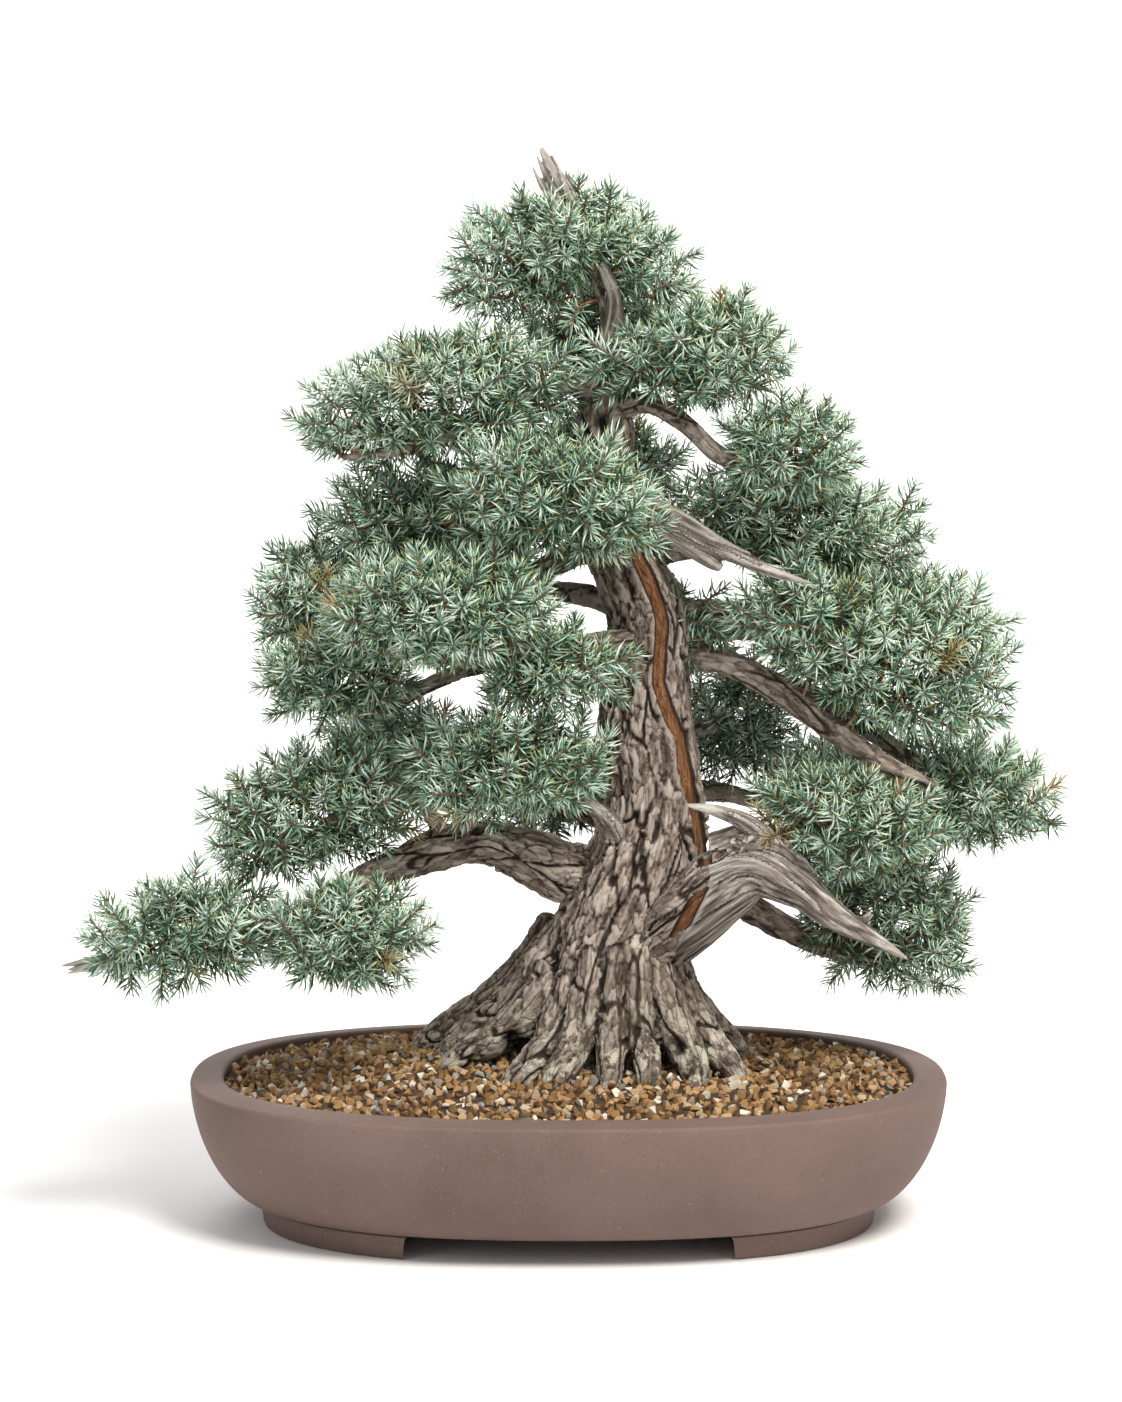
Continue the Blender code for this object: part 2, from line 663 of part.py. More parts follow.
def pad_solid(name, lumps, finish):
    """A pad of foliage: every point of a ball is pushed out to the farthest lump on its way."""
    middle = Vector(lumps[0][:3])
    spread = Vector(lumps[0][3:])
    bm = bmesh.new()
    bmesh.ops.create_uvsphere(bm, u_segments=PAD_SEGMENTS, v_segments=PAD_RINGS, radius=1.0)
    for vertex in bm.verts:
        way = Vector((vertex.co.x * spread.x, vertex.co.y * spread.y, vertex.co.z * spread.z)).normalized()
        point = middle + way * max(reach(middle, way, lump) for lump in lumps)
        if point.z < middle.z:
            point.z = middle.z + (point.z - middle.z) * PAD_UNDERSIDE
        vertex.co = tree_point(*point)
    mesh = bpy.data.meshes.new(name)
    bm.to_mesh(mesh)
    bm.free()
    return placed(name, mesh, finish)


def corners(obj, margin):
    """Lowest and highest corner of an object's own mesh, with a margin."""
    points = [vertex.co for vertex in obj.data.vertices]
    low = Vector([min(point[axis] for point in points) - margin for axis in range(3)])
    high = Vector([max(point[axis] for point in points) + margin for axis in range(3)])
    return low, high


def near(obj, other, margin=0.002):
    low, high = corners(obj, margin)
    other_low, other_high = corners(other, margin)
    return all(low[axis] < other_high[axis] and other_low[axis] < high[axis] for axis in range(3))


def build_tree(bark, deadwood, needles, grit):
    trunk_solid("trunk", 0.0, bark)
    trunk_seat = helper(trunk_solid("trunk_seat", SEAT))
    trunk_room = helper(trunk_solid("trunk_room", FOLIAGE_GAP))
    combine(grit, trunk_seat, "DIFFERENCE", "trunk")

    rooms = [trunk_room]
    limbs = {}
    for name, lines in LIMBS.items():
        finish = deadwood if name.startswith("deadwood") else bark
        limbs[name] = limb_solid(name, lines, 0.0, finish)
        combine(limbs[name], trunk_seat, "DIFFERENCE", "trunk")
        rooms.append(helper(limb_solid(f"{name}_room", lines, FOLIAGE_GAP)))
    fork_seat = helper(limb_solid("branch_left_low_seat", LIMBS["branch_left_low"], SEAT))
    combine(limbs["branch_left_inner"], fork_seat, "DIFFERENCE", "fork")

    for name, lumps in PADS.items():
        pad = pad_solid(name, lumps, needles)
        for room in rooms:
            if near(pad, room):
                combine(pad, room, "DIFFERENCE", room.name)


def build():
    clear_scene()
    stoneware = material("unglazed_stoneware", (0.20, 0.13, 0.11), 0.85)
    mixed_grit = material("mixed_grit", (0.33, 0.20, 0.08), 0.95)
    bark = material("old_bark", (0.20, 0.14, 0.11), 0.9)
    deadwood = material("bleached_deadwood", (0.42, 0.37, 0.33), 0.85)
    needles = material("blue_green_needles", (0.12, 0.26, 0.22), 0.6)
    plastic = material("black_plastic_mesh", (0.02, 0.02, 0.02), 0.6)
    wire = material("aluminium_wire", (0.5, 0.45, 0.4), 0.4, 1.0)

    build_pot(stoneware)
    grit = build_grit(mixed_grit)
    for name, x in drain_places():
        build_drain_mesh(f"drain_mesh_{name}", x, plastic)
        build_mesh_clip(f"mesh_clip_{name}", x, wire)
    build_tree(bark, deadwood, needles, grit)


build()
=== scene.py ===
"""The looks of an old conifer bonsai in a shallow oval stoneware pot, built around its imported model.

Metres, +Z up, the front of the tree looking along -Y. Lengths named with _MM are in millimetres.
Wood follows middle lines in the tree's own frame: x and y from the middle of the pot, z from the
collar, where the trunk meets the grit, all in millimetres, with a radius.
"""

from math import cos, pi, radians, sin, sqrt

import bmesh
import bpy
import numpy as np
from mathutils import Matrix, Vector
from mathutils.bvhtree import BVHTree


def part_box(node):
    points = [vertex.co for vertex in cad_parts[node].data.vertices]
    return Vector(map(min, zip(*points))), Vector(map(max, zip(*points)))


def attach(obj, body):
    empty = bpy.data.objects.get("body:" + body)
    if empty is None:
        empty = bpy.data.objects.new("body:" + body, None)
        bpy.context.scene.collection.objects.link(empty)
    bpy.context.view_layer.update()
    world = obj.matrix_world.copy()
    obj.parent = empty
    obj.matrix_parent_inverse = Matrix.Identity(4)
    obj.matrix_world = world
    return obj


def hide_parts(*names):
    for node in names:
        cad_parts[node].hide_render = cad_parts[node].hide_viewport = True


MM = 0.001

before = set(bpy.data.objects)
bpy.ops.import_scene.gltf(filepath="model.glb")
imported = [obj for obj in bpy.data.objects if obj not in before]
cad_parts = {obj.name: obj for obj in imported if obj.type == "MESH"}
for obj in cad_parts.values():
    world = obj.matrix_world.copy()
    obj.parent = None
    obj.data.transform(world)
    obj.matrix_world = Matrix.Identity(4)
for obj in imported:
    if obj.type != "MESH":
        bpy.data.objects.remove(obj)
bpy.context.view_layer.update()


# ---------------------------------------------------------------- sizes

POT_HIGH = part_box("pot")[1]
HALF_LENGTH = POT_HIGH.x
HALF_DEPTH = POT_HIGH.y
POT_HEIGHT = POT_HIGH.z
PLAN_POWER = 2.4
LIP_WIDTH = 22 * MM
LIP_FALL = 1.8 * MM
LIP_ROUNDING = 2.6 * MM
WALL = 11 * MM
FLOOR = 10 * MM
BOWL_TUCK_ENDS = 46 * MM
BOWL_TUCK_SIDES = 36 * MM
BOWL_POWER = 1.8
FOOT_HEIGHT = 16 * MM
FOOT_WIDTH = 18 * MM
FOOT_TAPER = 1.5 * MM
FOOT_GAP_LENGTH = 210 * MM
FOOT_GAP_CORNER = 5 * MM
DRAIN_HOLE = 26 * MM
DRAIN_SPACING = 210 * MM
GRIT_EDGE_Z = POT_HEIGHT - 6.5 * MM
GRIT_MOUND = 14 * MM

NEEDLE_LENGTH_MM = 14
NEEDLE_WIDTH_MM = 1.5
SHOOT_LENGTH_MM = 26
SHOOT_KINDS = 6
FLAKE_MM = 6.5
FLAKE_STRETCH = 0.4
CRACK_SPACING_MM = 19
FIBRE_MM = 3.2
# Hollows in the trunk's front, pushed in and darkened with painted shade: x, height, half width, half
# height.
HOLLOWS = [(21, 424, 5, 7), (-37, 18, 9, 8), (70, 20, 6, 7)]
TRUNK_SIDES = 48
TRUNK_VOXEL_MM = 1.7
LIMB_VOXEL_MM = 1.6
BARE_VOXEL_MM = 1.15
BACK_VOXEL_MM = 2.6
CREASE_ROUNDS = 4
CAVE_ROUNDS = 40
STRAND_COUNT = 4
STRAND_ENDS = (0.80, 1.0)
STRAND_TWIST = 1.4
STRAND_OFFSET = 0.62
STRAND_RADIUS = 0.46
# Where no shoot grows in front of the wood: x, height and radius.
WINDOWS = [(16, 526, 4), (22, 510, 11), (30, 490, 10), (58, 433, 8), (78, 421, 8), (97, 405, 7),
           (110, 264, 10), (130, 255, 11), (150, 242, 11), (170, 227, 10), (190, 212, 9), (205, 202, 8)]
# Single shoots that sprout from the bare foot of a limb: x, y, height and the way each one grows.
STRAYS = {
    "foliage_right_main": [
        (68, -4, 300, 0.4, -0.5, 0.8), (74, -6, 296, 0.8, -0.6, -0.2), (82, -6, 301, 0.6, -0.5, 0.5),
        (86, -8, 295, 0.7, -0.5, -0.6), (72, 2, 288, 0.4, -0.4, -0.9), (80, 6, 286, 0.7, -0.4, -0.6),
        (76, 20, 281, 0.5, -0.6, 0.7), (84, 26, 277, 0.8, -0.5, 0.2), (72, 14, 276, 0.5, -0.4, -0.8),
        (90, 24, 282, 0.6, -0.5, 0.7), (96, 28, 277, 0.7, -0.5, -0.5), (98, -2, 301, 0.7, -0.6, -0.4)],
    "foliage_upper_left": [
        (2, -8, 506, -0.6, -0.5, 0.7), (-6, -10, 502, -0.8, -0.5, 0.2), (8, -10, 500, -0.3, -0.8, -0.5),
        (16, -12, 528, 0.2, -0.8, 0.6), (14, -10, 536, -0.4, -0.7, 0.6), (20, -12, 534, 0.6, -0.6, 0.6)],
}
STRAY_SIZE = 1.0
# How much painted shade darkens the strays, as it darkens the shoots within a pad.
STRAY_SHADE = 0.5
# The yellowed tufts and small spent shoots: x, height, how far they spread and how dry they are.
SPENT = [(-97, 446, 6.5, 0.8), (-111, 230, 5, 0.45), (182, 303, 5, 0.45)]
OUTER_SPACING_MM = 15
INNER_SPACING_MM = 22
SHOOT_SET_BACK = 0.66
SHOOT_LIFT = 0.42
UNDERSIDE_LIFT = 0.1
SHOOT_SPREAD = 0.26
SHOOT_SIZES = (0.82, 1.15)
INNER_SHARE = 0.62
LOBE_MM = 6.5
TWIG_MM = 0.62
THICKEST_TWIG_MM = 3.2
DETOUR_COST = 0.35

# The stage, in metres: a sweep, lights with their place, aim, size, watts and colour, and the camera.
SWEEP_NEAR = -6.0
SWEEP_BEND_AT = 2.4
SWEEP_BEND = 1.6
SWEEP_TOP = 7.0
SWEEP_HALF_WIDTH = 9.0
LIGHTS = [("key", (1.1, -1.75, 2.85), (0, 0, 0.3), 1.5, 138, "#FFFBF4"),
          ("fill", (-2.2, -2.0, 1.4), (0, 0, 0.3), 1.8, 12, "#F6F9FF"),
          ("rim", (-0.6, 2.0, 2.4), (0, 0, 0.4), 1.4, 20, "#FFFFFF"),
          ("backdrop", (0, 1.2, 2.6), (0, 4.0, 1.2), 2.0, 90, "#FFFFFF")]
ROOM_LIGHT = 0.55
LENS_MM = 117.19
CAMERA_PLACE = (-0.005, -2.981, 0.681)
CAMERA_TILT = radians(83.53)

# Trunk middle line: x, y, height, half width, half depth.
TRUNK = [
    (14, 6, -14, 62, 40),
    (14, 5, 6, 62, 40),
    (15, 4, 20, 61, 40),
    (17, 3, 32, 58, 41),
    (20, 2, 47, 54, 41),
    (25, 0, 65, 50, 41),
    (31, -1, 84, 47, 41),
    (38, -3, 104, 45, 41),
    (47, -5, 127, 43, 40),
    (53, -6, 150, 39, 38),
    (56, -6, 171, 33, 33),
    (56, -3, 198, 31, 31),
    (52, 2, 223, 31, 31),
    (51, 5, 262, 29, 29),
    (53, 6, 290, 28, 28),
    (46, 3, 315, 28, 28),
    (34, -3, 340, 25, 25),
    (28, -4, 368, 20, 20),
    (25, -1, 388, 17, 17),
    (24, 3, 413, 19, 19),
    (24, 5, 436, 17, 17),
    (28, 8, 466, 11, 11),
    (29, 7, 491, 9, 9),
    (20, 4, 524, 8, 8),
    (14, 2, 536, 7, 7),
    (-2, -1, 573, 6.5, 6.5),
    (-14, -3, 594, 4, 4),
    (-18, -4, 602, 1.5, 1.5),
]

# Surface roots, each from high on the trunk down into the grit: x, y, height, radius.
ROOTS = [
    [(-6, 14, 92, 14), (-22, 20, 58, 20), (-54, 32, 29, 16), (-86, 50, 8, 11), (-108, 62, -8, 6)],
    [(2, 2, 88, 14), (-18, 2, 56, 18), (-44, 6, 30, 15), (-70, 16, 12, 11), (-92, 26, -9, 5)],
    [(2, -8, 84, 14), (-14, -16, 50, 17), (-40, -18, 24, 13), (-66, -16, 9, 10), (-88, -12, -9, 6)],
    [(8, -18, 80, 13), (0, -30, 44, 14), (-14, -44, 18, 12), (-30, -58, 4, 10), (-44, -70, -10, 6)],
    [(18, -26, 88, 12), (11, -38, 46, 13), (2, -52, 17, 11), (-7, -64, 3, 9.5), (-14, -74, -10, 6)],
    [(32, -32, 80, 12), (30, -43, 38, 12), (28, -57, 13, 9.5), (27, -68, 1, 8), (26, -78, -10, 5)],
    [(44, -34, 84, 12), (46, -42, 42, 12), (50, -52, 17, 10), (52, -64, 3, 9), (50, -74, -10, 6)],
    [(54, -30, 84, 12), (64, -37, 46, 13), (74, -45, 22, 12), (82, -56, 6, 10), (84, -70, -10, 6)],
    [(60, -18, 83, 13), (74, -23, 45, 14.5), (91, -32, 21, 12), (105, -41, 5, 9.5), (115, -52, -9, 6)],
    [(64, 2, 84, 13), (72, 6, 48, 15), (90, 14, 24, 13), (107, 26, 8, 9.5), (122, 38, -9, 5)],
    [(54, 24, 74, 14), (64, 38, 36, 16), (78, 52, 17, 12), (94, 72, -9, 6)],
    [(30, 30, 78, 14), (26, 46, 36, 16), (22, 60, 14, 12), (18, 84, -9, 6)],
    [(2, 24, 76, 14), (-12, 36, 38, 16), (-32, 52, 16, 12), (-50, 76, -9, 6)],
]

# Limbs: x, y, height, radius. Later lines are forks of the first.
LIMBS = {
    "branch_left_low": [
        [(30, -5, 118, 24), (14, -6, 124, 22), (-6, -8, 129, 20), (-31, -14, 141, 17), (-57, -20, 150, 14.5),
         (-84, -28, 146, 13.5), (-109, -38, 138, 11.5), (-132, -46, 130, 9.5), (-153, -52, 120, 7.5),
         (-175, -58, 107, 6.5), (-204, -63, 92, 5.5), (-236, -67, 83, 4.8), (-268, -69, 80, 4.2),
         (-298, -70, 79, 3.6), (-325, -70, 73, 1.2)],
        [(-78, -24, 146, 8), (-88, -29, 166, 5.5), (-98, -33, 178, 4.5), (-114, -36, 184, 4),
         (-136, -40, 183, 3)],
    ],
    "branch_left_inner": [
        [(-70, -24, 144, 9), (-66, -30, 172, 7.5), (-54, -40, 194, 6.5), (-46, -48, 208, 5),
         (-42, -52, 222, 3)],
    ],
    "branch_left_front": [
        [(44, -8, 282, 9), (8, -46, 282, 7), (-38, -74, 281, 6), (-90, -80, 277, 5), (-136, -72, 290, 3)],
    ],
    "branch_left_drop": [
        [(44, 4, 262, 9), (-10, 0, 276, 7), (-62, -18, 265, 6), (-95, -26, 252, 5), (-120, -30, 238, 4),
         (-148, -30, 240, 3)],
    ],
    "branch_left_mid": [
        [(40, 5, 336, 14), (14, 10, 341, 11), (-6, 18, 331, 9), (-28, 22, 320, 8), (-60, 22, 318, 6),
         (-98, 18, 312, 5), (-146, 12, 304, 3)],
    ],
    "branch_left_top": [
        [(24, 4, 434, 11), (8, -2, 446, 8), (-6, -8, 448, 6.5), (-24, -14, 441, 6), (-48, -20, 428, 5),
         (-78, -24, 416, 4.5), (-110, -26, 406, 4), (-144, -28, 402, 3)],
    ],
    "branch_right_mid": [
        [(52, 5, 254, 13), (80, 2, 267, 9.5), (98, -6, 268, 8.5), (120, -15, 260, 9), (145, -24, 245, 9),
         (168, -30, 228, 8.5), (188, -34, 214, 7.5), (212, -38, 200, 6), (240, -36, 188, 4)],
        [(128, -16, 256, 7), (158, 2, 246, 6.5), (186, 16, 228, 6.5), (214, 22, 208, 6),
         (240, 22, 190, 4.5)],
    ],
    "branch_right_high": [
        [(36, 0, 334, 11), (72, 4, 340, 8), (108, 6, 342, 6.5), (150, 4, 344, 5), (196, 2, 342, 3)],
    ],
    "branch_right_centre": [
        [(52, 6, 294, 11), (92, 0, 300, 8), (134, -8, 296, 7), (176, -10, 284, 5), (206, -8, 276, 3)],
    ],
    "branch_right_low": [
        [(48, 12, 132, 18), (82, 24, 119, 12), (116, 34, 100, 10), (150, 40, 80, 8.5), (184, 42, 66, 7),
         (214, 40, 62, 5.5), (238, 38, 68, 4)],
    ],
    "branch_right_shoulder": [
        [(24, 4, 430, 11), (50, -8, 437, 7.5), (76, -18, 423, 6.5), (97, -25, 404, 6), (120, -29, 396, 5),
         (146, -30, 398, 3.5)],
    ],
    "branch_right_top": [
        [(26, 7, 446, 9), (46, 2, 460, 6.5), (68, -5, 470, 5.5), (90, -10, 466, 4.5), (114, -14, 466, 3)],
    ],
    "branch_front_centre": [
        [(30, -6, 350, 11), (14, -34, 362, 7), (0, -56, 370, 4.5)],
    ],
    "branch_back_right": [
        [(54, 8, 212, 12), (78, 44, 216, 7.5), (104, 72, 214, 5)],
    ],
    "branch_back_low": [
        [(44, 8, 142, 14), (26, 46, 152, 8), (2, 78, 158, 5)],
    ],
    "branch_back_left": [
        [(46, 8, 300, 12), (8, 54, 306, 8), (-42, 92, 308, 6), (-84, 106, 310, 4)],
    ],
    "branch_back_right_mid": [
        [(52, 10, 274, 12), (92, 60, 280, 8), (140, 96, 276, 6), (182, 108, 272, 4)],
    ],
    "branch_back_high": [
        [(30, 4, 364, 11), (28, 48, 374, 7), (22, 84, 378, 4.5)],
    ],
    "branch_back_top": [
        [(27, 8, 460, 8), (24, 38, 470, 5.5), (20, 60, 474, 4)],
    ],
    "branch_back_low_right": [
        [(50, 14, 168, 13), (92, 68, 172, 8), (140, 108, 158, 6), (184, 122, 150, 4)],
    ],
    "branch_back_low_left": [
        [(40, 14, 194, 13), (-24, 70, 194, 8), (-76, 100, 186, 6), (-116, 108, 180, 4)],
    ],
    "deadwood_right_low": [
        [(50, -12, 72, 18), (64, -24, 90, 23), (82, -38, 108, 24), (102, -50, 128, 24), (122, -58, 138, 19),
         (147, -65, 127, 13), (170, -71, 110, 9.5), (193, -77, 97, 6), (218, -83, 83, 1.2)],
        [(104, -52, 136, 21), (120, -57, 150, 14), (126, -59, 158, 8), (113, -62, 169, 6), (94, -66, 177, 4),
         (75, -69, 181, 1.2)],
        [(158, -68, 118, 9), (176, -71, 106, 5), (188, -74, 106, 3), (195, -75, 113, 1)],
        [(112, -54, 150, 15), (134, -60, 150, 10), (148, -62, 142, 6), (160, -64, 134, 2)],
    ],
    "deadwood_right_upper": [
        [(44, -12, 366, 10), (64, -27, 360, 8), (88, -39, 348, 6.5), (112, -49, 338, 5),
         (135, -56, 329, 3.5),
         (157, -60, 323, 1)],
        [(58, -22, 358, 6), (80, -36, 342, 4), (98, -42, 331, 1.2)],
    ],
    "deadwood_left_stub": [
        [(36, -24, 148, 12), (26, -35, 164, 8), (16, -41, 176, 4.5), (9, -44, 186, 1.2)],
    ],
}

# Splinters of bare wood at the top of the trunk, at the far left tip, and spurs on the right-hand deadwood.
SPLINTERS = [
    [(9, 1, 540, 5), (-3, -2, 570, 4.0), (-12, -4, 588, 2.6), (-16.8, -4, 602, 0.9)],
    [(6, -2, 542, 4), (-8, -5, 570, 3.0), (-16, -5, 586, 2.0), (-21, -5, 597, 0.8)],
    [(4, -4, 546, 4), (-11, -7, 568, 2.8), (-19, -7, 580, 1.8), (-24, -6, 591, 0.8)],
    [(11, -3, 542, 4), (0, -5, 570, 3.2), (-7, -5, 587, 2.0), (-11.5, -4, 598, 0.8)],
    [(14, 2, 544, 4), (5, 0, 570, 2.8), (0, -1, 580, 1.9), (-2, -1, 588, 0.8)],
    [(10, 6, 546, 4), (-5, 5, 572, 2.8), (-13, 4, 585, 1.8), (-17, 4, 593, 0.8)],
    [(24, -2, 470, 6), (30, -8, 500, 5), (24, -9, 520, 4), (16, -8, 534, 3), (8, -7, 545, 2)],
    [(-284, -70, 80, 3.4), (-306, -70, 80, 2.8), (-328, -70, 76, 1.1)],
    [(-286, -70, 77, 3.0), (-306, -70, 75, 2.3), (-325, -70, 71, 1.0)],
    [(138, -63, 136, 8), (150, -65, 132, 4), (159, -66, 127, 1.0)],
    [(170, -70, 108, 7), (182, -72, 104, 4.5), (190, -74, 106, 2.6), (196, -75, 110, 1.0)],
    [(60, -26, 357, 7), (78, -36, 345, 6), (92, -42, 336, 5), (98.5, -44, 331.5, 3)],
    [(50, -16, 371, 7), (72, -32, 362, 6), (92, -42, 351, 4.5), (108, -48, 344, 2.5), (117, -51, 342, 0.9)],
    [(96, -52, 150, 12), (112, -57, 160, 8), (122, -60, 166, 4), (130, -61, 168, 1.0)],
]

COLLAR_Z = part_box("trunk")[1].z - TRUNK[-1][2] * MM

# The strip of live cinnamon bark down the front of the trunk: x and height.
STRIP = [(44, 340), (51, 323), (58, 307), (61, 294), (60, 275), (59, 255), (65, 236), (73, 218),
         (75, 200), (79, 183), (85, 162), (88, 146), (86, 128), (78, 110), (70, 92), (63, 68)]
STRIP_HALF_MM = 3.6
DEAD_TIP_HEIGHT = 560
DEAD_LEFT_TIP = -290


def linear(hex_colour):
    """An sRGB hex colour as linear red, green, blue and alpha."""
    parts = [int(hex_colour[i:i + 2], 16) / 255 for i in (1, 3, 5)]
    return [p / 12.92 if p <= 0.04045 else ((p + 0.055) / 1.055) ** 2.4 for p in parts] + [1.0]


def node(tree, kind, *values, out=None, stops=(), **settings):
    """Adds a node with its settings and feeds its inputs in use, in order, or by name from a
    dictionary. A socket is linked, a list of them too, a hex colour is turned linear, and None leaves
    an input alone. It gives the first output in use, or the one asked for."""
    made = tree.nodes.new(kind)
    for name, value in settings.items():
        setattr(made, name, value)
    if stops:
        band = made.color_ramp.elements
        while len(band) < len(stops):
            band.new(1.0)
        for element, (place, colour) in zip(band, stops):
            element.position = place
            element.color = linear(colour)
    if values and isinstance(values[0], dict):
        pairs = [(made.inputs[name], value) for name, value in values[0].items()]
    else:
        pairs = list(zip([socket for socket in made.inputs if socket.enabled], values))
    for socket, value in pairs:
        for item in value if isinstance(value, list) else [value]:
            if isinstance(item, bpy.types.NodeSocket):
                tree.links.new(item, socket)
            elif item is not None:
                socket.default_value = linear(item) if str(item).startswith("#") else item
    if out is not None:
        return made.outputs[out]
    return next(socket for socket in made.outputs if socket.enabled)


# ---------------------------------------------------------------- objects


def baked(bm, name):
    """A plain mesh of what has been built, which frees the builder."""
    mesh = bpy.data.meshes.new(name)
    bm.to_mesh(mesh)
    bm.free()
    return mesh


def show(name, mesh):
    obj = bpy.data.objects.new(name, mesh)
    bpy.context.scene.collection.objects.link(obj)
    return obj


def settle(obj):
    """The object's mesh becomes what its modifiers make, and the modifiers go."""
    graph = bpy.context.evaluated_depsgraph_get()
    graph.update()
    mesh = bpy.data.meshes.new_from_object(obj.evaluated_get(graph), preserve_all_data_layers=True,
                                           depsgraph=graph)
    mesh.name = obj.name
    obj.modifiers.clear()
    obj.data = mesh
    return obj


def grow_modifier(obj, tree, **inputs):
    """A Geometry Nodes modifier with its inputs set by their sockets' identifiers."""
    modifier = obj.modifiers.new(tree.name, "NODES")
    modifier.node_group = tree
    for item in tree.interface.items_tree:
        if item.item_type == "SOCKET" and item.in_out == "INPUT" and item.name in inputs:
            modifier[item.identifier] = inputs[item.name]
    return modifier


def geometry_tree(name, **inputs):
    """A Geometry Nodes tree with a geometry in and out, and one named input for each size."""
    tree = bpy.data.node_groups.new(name, "GeometryNodeTree")
    face = tree.interface
    face.new_socket("Geometry", in_out="INPUT", socket_type="NodeSocketGeometry")
    face.new_socket("Geometry", in_out="OUTPUT", socket_type="NodeSocketGeometry")
    for label, (kind, default) in inputs.items():
        socket = face.new_socket(label, in_out="INPUT", socket_type=f"NodeSocket{kind}")
        if default is not None:
            socket.default_value = default
    return tree, tree.nodes.new("NodeGroupInput"), tree.nodes.new("NodeGroupOutput")


def attribute(mesh, name, values, kind="FLOAT"):
    made = mesh.attributes.new(name, kind, "POINT")
    number = np.int32 if kind == "INT" else np.float32
    made.data.foreach_set("vector" if kind == "FLOAT_VECTOR" else "value",
                          np.asarray(values, number).ravel())


# ---------------------------------------------------------------- materials


def new_material(name):
    made = bpy.data.materials.new(name)
    made.use_nodes = True
    tree = made.node_tree
    return made, tree, tree.nodes["Principled BSDF"]


def tinted(tree, colour, *tints):
    """A colour under tints, each of which sets in as a value goes from one number to another, up to its
    largest share."""
    for value, start, end, most, tint in tints:
        share = node(tree, "ShaderNodeMapRange", value, start, end, 0.0, most,
                     interpolation_type="SMOOTHSTEP")
        colour = node(tree, "ShaderNodeMix", share, colour, tint, data_type="RGBA")
    return colour


def stretched(tree, vector, across, along):
    """A vector with its third axis, along the wood, scaled apart from the two across it."""
    return node(tree, "ShaderNodeVectorMath", vector, (across, across, along), operation="MULTIPLY")


def warped(tree, vector, per_metre, amount):
    """A vector shaken by noise, so that a pattern on it isn't straight."""
    shake = node(tree, "ShaderNodeTexNoise", {"Vector": vector, "Scale": per_metre, "Detail": 2.0}, out=1)
    centred = node(tree, "ShaderNodeVectorMath", shake, (0.5, 0.5, 0.5), operation="SUBTRACT")
    scaled = node(tree, "ShaderNodeVectorMath", centred, amount, operation="SCALE")
    return node(tree, "ShaderNodeVectorMath", vector, scaled, operation="ADD")


def flakes(tree, grain):
    """Bark flakes: how far a point is from the edge of its flake, and the flake's own random value."""
    vector = warped(tree, stretched(tree, grain, 1.0, FLAKE_STRETCH), 150.0, 9 * MM)
    scale = 1 / (FLAKE_MM * MM)
    edge = node(tree, "ShaderNodeTexVoronoi", {"Vector": vector, "Scale": scale},
                feature="DISTANCE_TO_EDGE")
    cell = node(tree, "ShaderNodeTexVoronoi", {"Vector": vector, "Scale": scale}, out="Color", feature="F1")
    return edge, node(tree, "ShaderNodeSeparateXYZ", cell)


def cracks(tree, grain):
    """Long cracks that part the bark here and there, from 0 in a crack to 1."""
    vector = warped(tree, stretched(tree, grain, 1.0, 0.3), 70.0, 14 * MM)
    edge = node(tree, "ShaderNodeTexVoronoi", {"Vector": vector, "Scale": 1 / (CRACK_SPACING_MM * MM)},
                out="Distance", feature="DISTANCE_TO_EDGE")
    closed = node(tree, "ShaderNodeMapRange",
                  node(tree, "ShaderNodeTexNoise", stretched(tree, grain, 1.0, 0.4), 38.0, 2.0, 0.55), 0.46,
                  0.6, interpolation_type="SMOOTHSTEP")
    return node(tree, "ShaderNodeMath",
                node(tree, "ShaderNodeMapRange", edge, 0.012, 0.06, interpolation_type="SMOOTHSTEP"),
                closed, operation="MAXIMUM")


def fibres(tree, grain):
    """Long weathered grooves that run with the wood, from 0 in a groove to 1."""
    vector = warped(tree, stretched(tree, grain, 1.0, 0.07), 60.0, 4 * MM)
    return node(tree, "ShaderNodeTexNoise", vector, 1 / (FIBRE_MM * MM), 3.0, 0.5)


